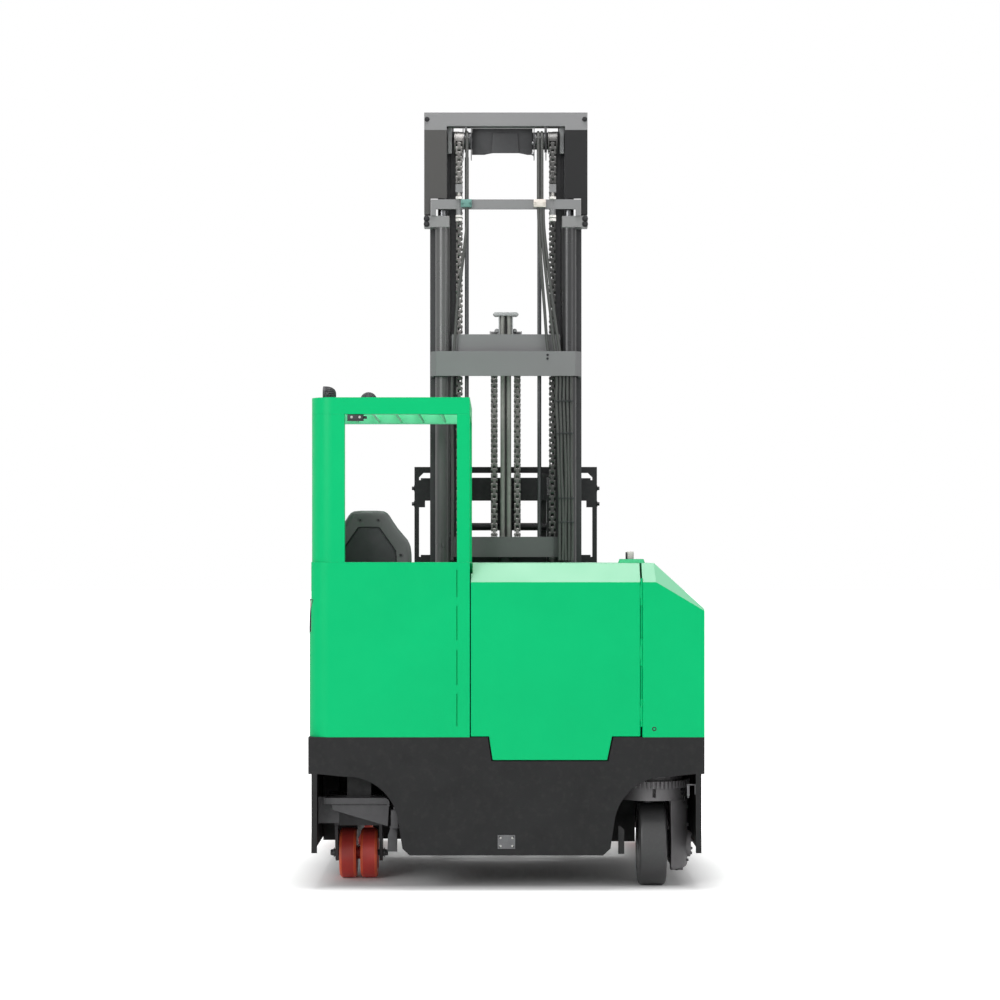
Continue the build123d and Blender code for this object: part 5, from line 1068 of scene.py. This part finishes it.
def make_load_wheel_details():
    """Bearing caps of the load wheels with their bolts, and bolts of their slewing plates."""
    for name, fork, side in (("left_load_caps", "left_load_fork", -1),
            ("right_load_caps", "right_load_fork", 1)):
        bm = bmesh.new()
        for way in (-1, 1):
            add_lathe(bm, at(side * LOAD_X + way * 0.086, LOAD_DEPTH, LOAD_Z), (way, 0, 0),
                mm((18, -4), (18, 1), (13, 3), (0, 3)), 24)
            add_bolt(bm, at(side * LOAD_X + way * 0.0885, LOAD_DEPTH, LOAD_Z), (way, 0, 0), 0.016)
        for n in range(8):
            turn = 2 * pi * (n + 0.5) / 8
            add_bolt(bm, at(side * LOAD_X + 0.086 * cos(turn), LOAD_DEPTH + 0.086 * sin(turn), 0.3555), UP,
                0.009, socket=True)
        finish_mesh(name, bm, bolt_steel, fork, sharp=25)


def make_drive_details():
    """Bolts, plugs and a near-black recess of the gearbox as painted shade, rim rings and nuts of the wheel,
    and a clip at its arch.
    """
    bm = bmesh.new()
    for z in (0.355, 0.275, 0.19, 0.115):
        add_bolt(bm, at(0.8195 - 0.004 * abs(z - 0.2) / 0.1, 0.19, z), (0.92, -0.39, 0), 0.012)
    for n in range(8):
        turn = 2 * pi * n / 8 + 0.39
        add_bolt(bm, at(0.8345, DRIVE_DEPTH + 0.046 * cos(turn), DRIVE_Z + 0.046 * sin(turn)), RIGHT, 0.011)
    add_lathe(bm, at(0.834, DRIVE_DEPTH, DRIVE_Z), RIGHT, mm((30, -1), (30, 1), (24, 3), (0, 3)), 36)
    finish_mesh("gearbox_bolts", bm, bolt_steel, "drive_unit", sharp=25)
    plug = bmesh.new()
    for x, z, size in ((0.79, 0.431, 0.016), (0.771, 0.083, 0.02)):
        depth = DRIVE_DEPTH - sqrt(max(0.0, CASING ** 2 - (x - DRIVE_X) ** 2)) if z > 0.2 else 0.2015
        add_bolt(plug, at(x, depth - 0.001, z), REARWARD if z < 0.2 else (0.6, -0.8, 0), size)
    finish_mesh("gearbox_plugs", plug, dark_bolt, "drive_unit", sharp=25)
    # Painted shade: the recess is near-black.
    recess = bmesh.new()
    place = Vector((0.791, REAR + DRIVE_DEPTH - sqrt(CASING ** 2 - 0.133 ** 2) - 0.0005, 0.396))
    add_lathe(recess, place, (0.62, -0.78, 0), mm((22, -3), (21, 1.5), (18, 1.5), (15, -3), (0, -3)), 28)
    finish_mesh("gearbox_recess", recess, shade_black, "drive_unit")
    rims = bmesh.new()
    for side, radius in ((-1, 0.127), (1, 0.1)):
        for grow, out in mm((0, 1.6), (30, 1)):
            add_lathe(rims, at(DRIVE_X + side * 0.0613, DRIVE_DEPTH, DRIVE_Z), (side, 0, 0),
                [(radius + grow, -0.0008), (radius + grow + 0.0015, out), (radius + grow + 0.004, out),
                (radius + grow + 0.0055, -0.0008)], 72)
    finish_mesh("tyre_rim_rings", rims, "plate_steel", "drive_wheel")
    nuts = bmesh.new()
    for n in range(7):
        turn = 2 * pi * n / 7
        add_bolt(nuts, at(0.6265, DRIVE_DEPTH + 0.04 * cos(turn), DRIVE_Z + 0.04 * sin(turn)), LEFT, 0.019)
    finish_mesh("drive_wheel_nuts", nuts, bolt_steel, "drive_wheel", sharp=25)
    clip = bmesh.new()
    add_block(clip, at(0.806, 0.028, 0.418), at(0.818, 0.04, 0.466), 0.002)
    add_block(clip, at(0.806, 0.028, 0.466), at(0.846, 0.04, 0.472), 0.002)
    add_block(clip, at(0.84, 0.028, 0.424), at(0.847, 0.046, 0.47), 0.002)
    add_rod(clip, at(0.812, 0.034, 0.41), at(0.812, 0.034, 0.418), 0.005, 12)
    finish_mesh("arch_clip", clip, "plate_steel", "chassis")


# Near-black finish that stands in for shade in the wheel houses and the gearbox's recess.
shade_black = surface("shade_black", (20, 20, 21), rough=0.7, mottle=0.1, grain=900, depth=0.3, dust=0.03)
# Paler orange of the tread edges, a painted highlight.
tread_highlight = surface("tread_highlight", (228, 96, 62), rough=0.35, mottle=0.12, patch=20, grain=600, edge=0.0)
make_castor_details()
make_load_wheel_details()
make_drive_details()


# Lamps, cab and body fittings

def add_finned(bm, origin, axis, profile, fins, deep, start=0.0):
    """A turned housing with cooling ribs along its axis from a place on."""
    turn = Matrix.Translation(Vector(origin)) @ frame_along(axis)
    sides = fins * 4
    rings = []
    for radius, along in profile:
        ring = []
        for n in range(sides):
            r = radius - (deep if n % 4 > 1 and along > start and radius > deep * 3 else 0.0)
            ring.append(bm.verts.new(turn @ Vector((r * cos(2 * pi * n / sides), r * sin(2 * pi * n / sides),
                along))))
        rings.append(ring)
    for first, second in zip(rings, rings[1:]):
        bridge(bm, first, second)
    bm.faces.new(list(reversed(rings[0])))
    bm.faces.new(rings[-1])


def make_lamps():
    """Two ribbed work lamps on their brackets, and the switch box under the guard's rear beam."""
    housing = bmesh.new()
    lens = bmesh.new()
    brackets = bmesh.new()
    guard_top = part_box("overhead_guard")[1].z
    for origin, axis in ((at(-0.8475, 0.45, 2.2345), RIGHT), (at(-0.659, 0.8735, 2.2345), REARWARD)):
        add_finned(housing, origin, axis, mm((36, 2), (37.5, 0), (40.5, 1), (41, 9), (40.5, 9.5), (40.5, 12),
            (40.8, 12.5), (39.5, 28), (35, 42), (26, 54), (14, 59.5), (4, 60.5)), 22, 0.0042, 0.0123)
        add_lathe(lens, origin, axis, mm((36.5, 3.5), (34, 2.2), (20, 0.8), (0, 0.4)), 44)
        across = Vector(UP).cross(Vector(axis))
        foot = Vector((origin[0], origin[1], guard_top)) + Vector(axis) * 0.022
        add_lathe(brackets, foot, UP, mm((0, 0), (18, 0), (18, 4), (12, 6), (0, 6)), 28)
        for way in (-1, 1):
            side = foot + across * way * 0.043
            add_plate(brackets, mm((-10, 0), (10, 0), (10, 40), (4, 50), (-4, 50), (-10, 40)), side, axis, UP,
                0.0028 * way, 0.0008)
            add_bolt(brackets, side + Vector((0, 0, 0.0385)) + across * way * 0.0005, across * way, 0.01)
        add_block(brackets, foot - across * 0.043 - Vector(axis) * 0.01,
            foot + across * 0.043 + Vector(axis) * 0.01 + Vector((0, 0, 0.003)), 0.0)
    finish_mesh("lamp_housings", housing, "lamp_plastic", "chassis", sharp=40, stands_for=("work_lamps",))
    finish_mesh("lamp_lenses", lens, lens_clear, "chassis")
    finish_mesh("lamp_brackets", brackets, "lamp_plastic", "chassis")
    box = bmesh.new()
    add_block(box, at(-0.7085, 0.006, 2.0945), at(-0.637, 0.042, 2.1208), 0.003)
    add_block(box, at(-0.707, 0.0042, 2.096), at(-0.6385, 0.007, 2.1195), 0.0015)
    add_block(box, at(-0.71, 0.01, 2.0915), at(-0.6355, 0.03, 2.0945), 0.001)
    add_rod(box, at(-0.637, 0.024, 2.107), at(-0.622, 0.024, 2.107), 0.006, 16)
    finish_mesh("guard_switch_box", box, "lamp_plastic", "chassis")
    screws = bmesh.new()
    for x in (-0.689, -0.653):
        add_bolt(screws, at(x, 0.004, 2.108), REARWARD, 0.0065, socket=True)
    finish_mesh("switch_box_screws", screws, bright_nut, "chassis", sharp=25)


def make_body_fittings():
    """Socket bolts, cover bolt, release knob, and the dark rim of the cab's corner with a pale patch beside
    it as a painted highlight.
    """
    bolts = bmesh.new()
    for x in (-0.026, 0.026):
        for z in (0.199, 0.235):
            add_lathe(bolts, at(x, 0.0002, z), REARWARD,
                mm((4.8, 0), (4.8, 0.4), (4.2, 0.6), (2.4, 0.6), (2.2, 0.1), (0, 0.1)), 6)
    finish_mesh("socket_bolts", bolts, bright_nut, "chassis", sharp=25)
    cover = bmesh.new()
    add_lathe(cover, at(0.658, 0.0012, 0.72), REARWARD,
        mm((10, 0), (10, 1.2), (8.8, 1.6), (6, 1.6), (5.2, 1.1), (0, 1.1)), 32)
    finish_mesh("cover_bolt", cover, dark_bolt, "chassis", sharp=25)
    knob = bmesh.new()
    add_lathe(knob, at(0.56, 0.18, 1.4755), UP, mm((15, 0), (15.6, 1), (15.6, 32.5), (14.6, 34.5), (6, 34.8),
        (0, 34.8)), 40)
    for n in range(20):
        turn = 2 * pi * n / 20
        add_rod(knob, at(0.56 + 0.0155 * cos(turn), 0.18 + 0.0155 * sin(turn), 1.479),
            at(0.56 + 0.0155 * cos(turn), 0.18 + 0.0155 * sin(turn), 1.505), 0.001, 6)
    tab = bmesh.new()
    add_block(tab, at(0.5395, 0.166, 1.475), at(0.545, 0.194, 1.507), 0.0015)
    finish_mesh("deck_knob_tab", tab, dark_bolt, "chassis")
    finish_mesh("deck_knob_cap", knob, knob_grey, "chassis")
    bumper = bmesh.new()
    pale = bmesh.new()
    low, high = 1.142, 1.294

    def on_corner(turn, z, radius):
        return at(-0.792 - radius * cos(turn), 0.09 - radius * sin(turn), z)

    heights = [low + (high - low) * n / 10 for n in range(11)]
    turns = [0.14 + 0.52 * (n / 10) ** 2 for n in range(11)]
    add_tube(bumper, [on_corner(turn, z, 0.088) for turn, z in zip(turns, heights)], 0.0032, 12, 3)
    add_tube(bumper, [on_corner(turns[-1] * n / 6, high, 0.0876) for n in range(7)], 0.003, 12, 3)
    # Painted highlight: a thin pale patch on the rounded corner.
    rows = [[pale.verts.new(on_corner(turn * k / 6, z, 0.0898)) for k in range(7)] +
        [pale.verts.new(on_corner(turn * k / 6, z, 0.079)) for k in range(6, -1, -1)]
        for turn, z in zip(turns, heights)]
    for first, second in zip(rows, rows[1:]):
        bridge(pale, first, second)
    pale.faces.new(list(reversed(rows[0])))
    pale.faces.new(rows[-1])
    finish_mesh("cab_corner_highlight", pale, clamp_pale, "chassis", sharp=60)
    finish_mesh("cab_corner_strip", bumper, finishes["console_plastic"], "chassis", sharp=60)


knob_grey = surface("knob_grey", (206, 202, 197), rough=0.4, mottle=0.08, patch=40, grain=1200, depth=0.2,
    edge=0.001)
make_lamps()
make_body_fittings()


# Inside the cab

WHEEL_X, WHEEL_DEPTH = -0.629, 0.84
CONSOLE_X, CONSOLE_TOP = -0.3075, 1.13


def make_wheel_fittings():
    """Horn cap, spinner knob and clamp, column boot and tilt lever of the steering wheel."""
    bm = bmesh.new()
    add_lathe(bm, at(WHEEL_X, WHEEL_DEPTH, 1.2275), UP,
        mm((40.5, 0.5), (40.5, 4), (37, 7.5), (26, 9.5), (24.5, 8.5), (23, 9.5), (10, 10.5), (0, 10.6)), 48)
    turn = radians(215)
    x, depth = WHEEL_X + 0.1 * cos(turn), WHEEL_DEPTH + 0.1 * sin(turn)
    add_lathe(bm, at(x, depth, 1.199), UP, mm((0, 0), (14, 0), (16.5, 3), (16.5, 27), (14, 30), (8.5, 31),
        (8.5, 36), (13, 37), (19.5, 42), (22, 51), (19.5, 61), (12, 67), (0, 69)), 32)
    add_lathe(bm, at(WHEEL_X, WHEEL_DEPTH, 0.56), UP,
        mm((58, 0), (58, 5), (46, 9), (50, 15), (41, 22), (45, 29), (36, 37), (40, 44), (32, 53), (29.5, 58)),
        36)
    add_rod(bm, at(WHEEL_X + 0.026, WHEEL_DEPTH - 0.01, 1.12), at(WHEEL_X + 0.095, WHEEL_DEPTH - 0.03, 1.128),
        0.005, 14)
    add_lathe(bm, at(WHEEL_X + 0.093, WHEEL_DEPTH - 0.0295, 1.1278), (0.95, -0.28, 0.11),
        mm((0, 0), (7, 2), (10, 10), (9, 20), (4, 24), (0, 24.5)), 20)
    finish_mesh("steering_fittings", bm, "console_plastic", "chassis")


def make_pedal_rubbers():
    """Ribbed rubbers on the two sloped pedals, and the ribbed mat of the floor."""
    bm = bmesh.new()
    slope = Vector((0, 0.12, 0.075)).normalized()
    out = Vector(RIGHT).cross(slope)
    for x in (WHEEL_X - 0.11, WHEEL_X + 0.11):
        foot = at(x, 0.7, 0.56)
        add_plate(bm, mm((-36, 12), (-32, 8), (32, 8), (36, 12), (36, 130), (32, 134), (-32, 134),
            (-36, 130)), foot, RIGHT, slope, 0.004, 0.001)
        for n in range(8):
            middle = foot + slope * (0.018 + 0.0152 * n) + out * 0.0035
            add_rod(bm, middle - Vector((0.032, 0, 0)), middle + Vector((0.032, 0, 0)), 0.0028, 10)
    mat = mm((-170, 0), (200, 0), (200, 212), (-170, 212))
    add_plate(bm, mat, at(WHEEL_X, 0.712, 0.56), RIGHT, AHEAD, 0.0035, 0.001)
    for n in range(17):
        depth = 0.72 + 0.0122 * n
        add_rod(bm, at(WHEEL_X - 0.165, depth, 0.5635), at(WHEEL_X + 0.195, depth, 0.5635), 0.0018, 8)
    finish_mesh("floor_rubbers", bm, "console_plastic", "chassis", sharp=50)


def make_console_fittings():
    """Display, boot and button of the lever, keys, stop button and key lock of the console."""
    dark = bmesh.new()
    add_plate(dark, mm((18, -1), (92, -1), (92, 60), (84, 68), (56, 68)),
        at(CONSOLE_X - 0.0575, 0.802, CONSOLE_TOP), AHEAD, UP, 0.115, 0.003)
    add_lathe(dark, at(CONSOLE_X, 0.76, CONSOLE_TOP), UP,
        mm((37, 0), (37, 4), (30, 8), (32.5, 13), (26, 18), (28.5, 23), (22, 28), (24.5, 33), (18, 39),
        (14.5, 44), (0, 44.5)), 36)
    for depth in (0.545, 0.575, 0.605):
        add_lathe(dark, at(-0.2385, depth, CONSOLE_TOP), UP,
            mm((10.5, 0), (10.5, 2), (9.2, 3), (8, 3), (8, 5.5), (7, 6.5), (0, 6.8)), 24)
    finish_mesh("console_fittings", dark, "console_plastic", "chassis")
    screen = bmesh.new()
    rise = Vector((0, 0.038, 0.069)).normalized()
    add_plate(screen, mm((-46, 12), (46, 12), (46, 66), (-46, 66)), at(CONSOLE_X, 0.8195, CONSOLE_TOP), RIGHT,
        rise, 0.0022, 0.0008)
    finish_mesh("console_screen", screen, screen_dark, "chassis")
    stop = bmesh.new()
    add_lathe(stop, at(-0.2375, 0.705, CONSOLE_TOP), UP,
        mm((12.5, 0), (12.5, 8), (9.5, 9), (9.5, 13), (16.5, 15), (18.5, 19), (16.5, 24), (9, 26.5), (0, 27)),
        36)
    add_lathe(stop, at(CONSOLE_X, 0.745, 1.2795), UP, mm((6.5, 0), (6.5, 2.2), (5, 3.2), (0, 3.5)), 20)
    finish_mesh("stop_button", stop, stop_red, "chassis")
    lock = bmesh.new()
    add_lathe(lock, at(-0.2385, 0.65, CONSOLE_TOP), UP,
        mm((12.5, 0), (12.5, 3), (11.2, 4.5), (8.5, 4.5), (8, 3.6), (0, 3.6)), 32)
    add_plate(lock, mm((-7, 0), (7, 0), (10, 10), (6, 26), (-6, 26), (-10, 10)),
        at(-0.2385, 0.6512, CONSOLE_TOP + 0.0036), RIGHT, UP, 0.0022, 0.0005)
    finish_mesh("console_key", lock, bright_nut, "chassis", sharp=25)


def make_armrest_pad():
    """Padded sleeve over the console's armrest, filled and sewn like the seat."""
    def on_console(u, v, w):
        return at(CONSOLE_X + u, 0.56 + v, w)

    right = mm((0, 128.5), (18, 128.5), (36, 120), (45.5, 102), (48, 85), (48, -85), (45.5, -102), (36, -120),
        (18, -128.5), (0, -128.5))
    outline = evened(mirrored(right), 84)
    pad = pad_form("armrest_pad", outline, on_console,
        mm((10, 1150), (2, 1150), (0, 1154), (0, 1187), (3, 1194), (10, 1198), (22, 1200)))
    edge = [on_console(p.x, p.y, 1.17) for p in outline]
    finish_pad(pad, "armrest", edge, [], 0.004, 0.0016, voxel=0.004)


screen_dark = surface("screen_dark", (24, 27, 32), rough=0.12, mottle=0.03, patch=40, grain=1200, depth=0.02,
    coat=1.0, edge=0.0)
stop_red = surface("stop_red", (186, 36, 32), rough=0.35, mottle=0.05, patch=60, grain=1200, depth=0.1,
    edge=0.0005)
make_wheel_fittings()
make_pedal_rubbers()
make_console_fittings()
make_armrest_pad()


# Stage, light and camera

def make_stage():
    bm = bmesh.new()
    corners = [bm.verts.new((x, y, FLOOR)) for x, y in ((-60, -30), (60, -30), (60, 90), (-60, 90))]
    bm.faces.new(corners)
    mesh = bpy.data.meshes.new("floor")
    bm.to_mesh(mesh)
    bm.free()
    floor = bpy.data.objects.new("floor", mesh)
    bpy.context.scene.collection.objects.link(floor)
    pale = bpy.data.materials.new("floor_pale")
    pale.use_nodes = True
    tree = pale.node_tree
    shader = tree.nodes["Principled BSDF"]
    shader.inputs["Base Color"].default_value = (0.9, 0.9, 0.9, 1)
    shader.inputs["Roughness"].default_value = 0.9
    # Away from the machine the floor fades to the white of the surroundings
    rays = node(tree, "LightPath", {})
    outside = node(tree, "TexCoord", {}).outputs["Object"]
    for how, amount in (("SUBTRACT", (0.0, -0.25, 0.0)), ("ABSOLUTE", (0, 0, 0)),
            ("SUBTRACT", (0.78, 0.85, 0.0)), ("MAXIMUM", (0, 0, 0)), ("LENGTH", (0, 0, 0))):
        step = node(tree, "VectorMath", {0: outside, 1: amount}, operation=how)
        outside = step.outputs["Value" if how == "LENGTH" else "Vector"]
    glow = both(tree, spread(tree, outside, 0.0, 1.0, 0.0, 0.55), rays.outputs["Is Camera Ray"])
    shader.inputs["Emission Color"].default_value = (1, 1, 1, 1)
    tree.links.new(glow, shader.inputs["Emission Strength"])
    mesh.materials.append(pale)


def make_world(fill):
    """Plain white surroundings: soft fill on the object, pure white for the camera and for reflections."""
    world = bpy.data.worlds.new("studio")
    world.use_nodes = True
    tree = world.node_tree
    background = tree.nodes["Background"]
    background.inputs["Color"].default_value = (1, 1, 1, 1)
    rays = node(tree, "LightPath", {})
    seen = rays.outputs["Is Camera Ray"]
    for kind in ("Is Glossy Ray", "Is Transmission Ray"):
        seen = both(tree, seen, rays.outputs[kind], "MAXIMUM")
    tree.links.new(spread(tree, seen, fill, 1.0, 0.0, 1.0), background.inputs["Strength"])
    bpy.context.scene.world = world


def softbox(name, place, target, wide, high, power):
    light = bpy.data.lights.new(name, "AREA")
    light.shape = "RECTANGLE"
    light.size = wide
    light.size_y = high
    light.energy = power
    lamp = bpy.data.objects.new(name, light)
    bpy.context.scene.collection.objects.link(lamp)
    lamp.location = place
    lamp.rotation_euler = (Vector(target) - Vector(place)).to_track_quat("-Z", "Y").to_euler()


def make_camera():
    """Level, behind the machine, where the photograph was taken from."""
    data = bpy.data.cameras.new("camera")
    data.sensor_width = 36.0
    data.lens = 89.0
    data.shift_y = 0.055
    camera = bpy.data.objects.new("camera", data)
    bpy.context.scene.collection.objects.link(camera)
    camera.location = (-0.0285, REAR - 11.0, 1.494)
    camera.rotation_euler = (pi / 2, 0, 0)
    bpy.context.scene.camera = camera


make_stage()
make_world(0.5)
softbox("key", (-5.0, -8.0, 4.5), (0, 0, 1.4), 4.0, 4.0, 285)
softbox("side", (6.5, -5.0, 4.0), (0, 0, 1.4), 3.5, 4.5, 95)
softbox("top", (0, -1.2, 7.0), (0, -1.0, 0.5), 3.0, 3.0, 260)
make_camera()
bpy.context.scene.view_settings.view_transform = "Standard"
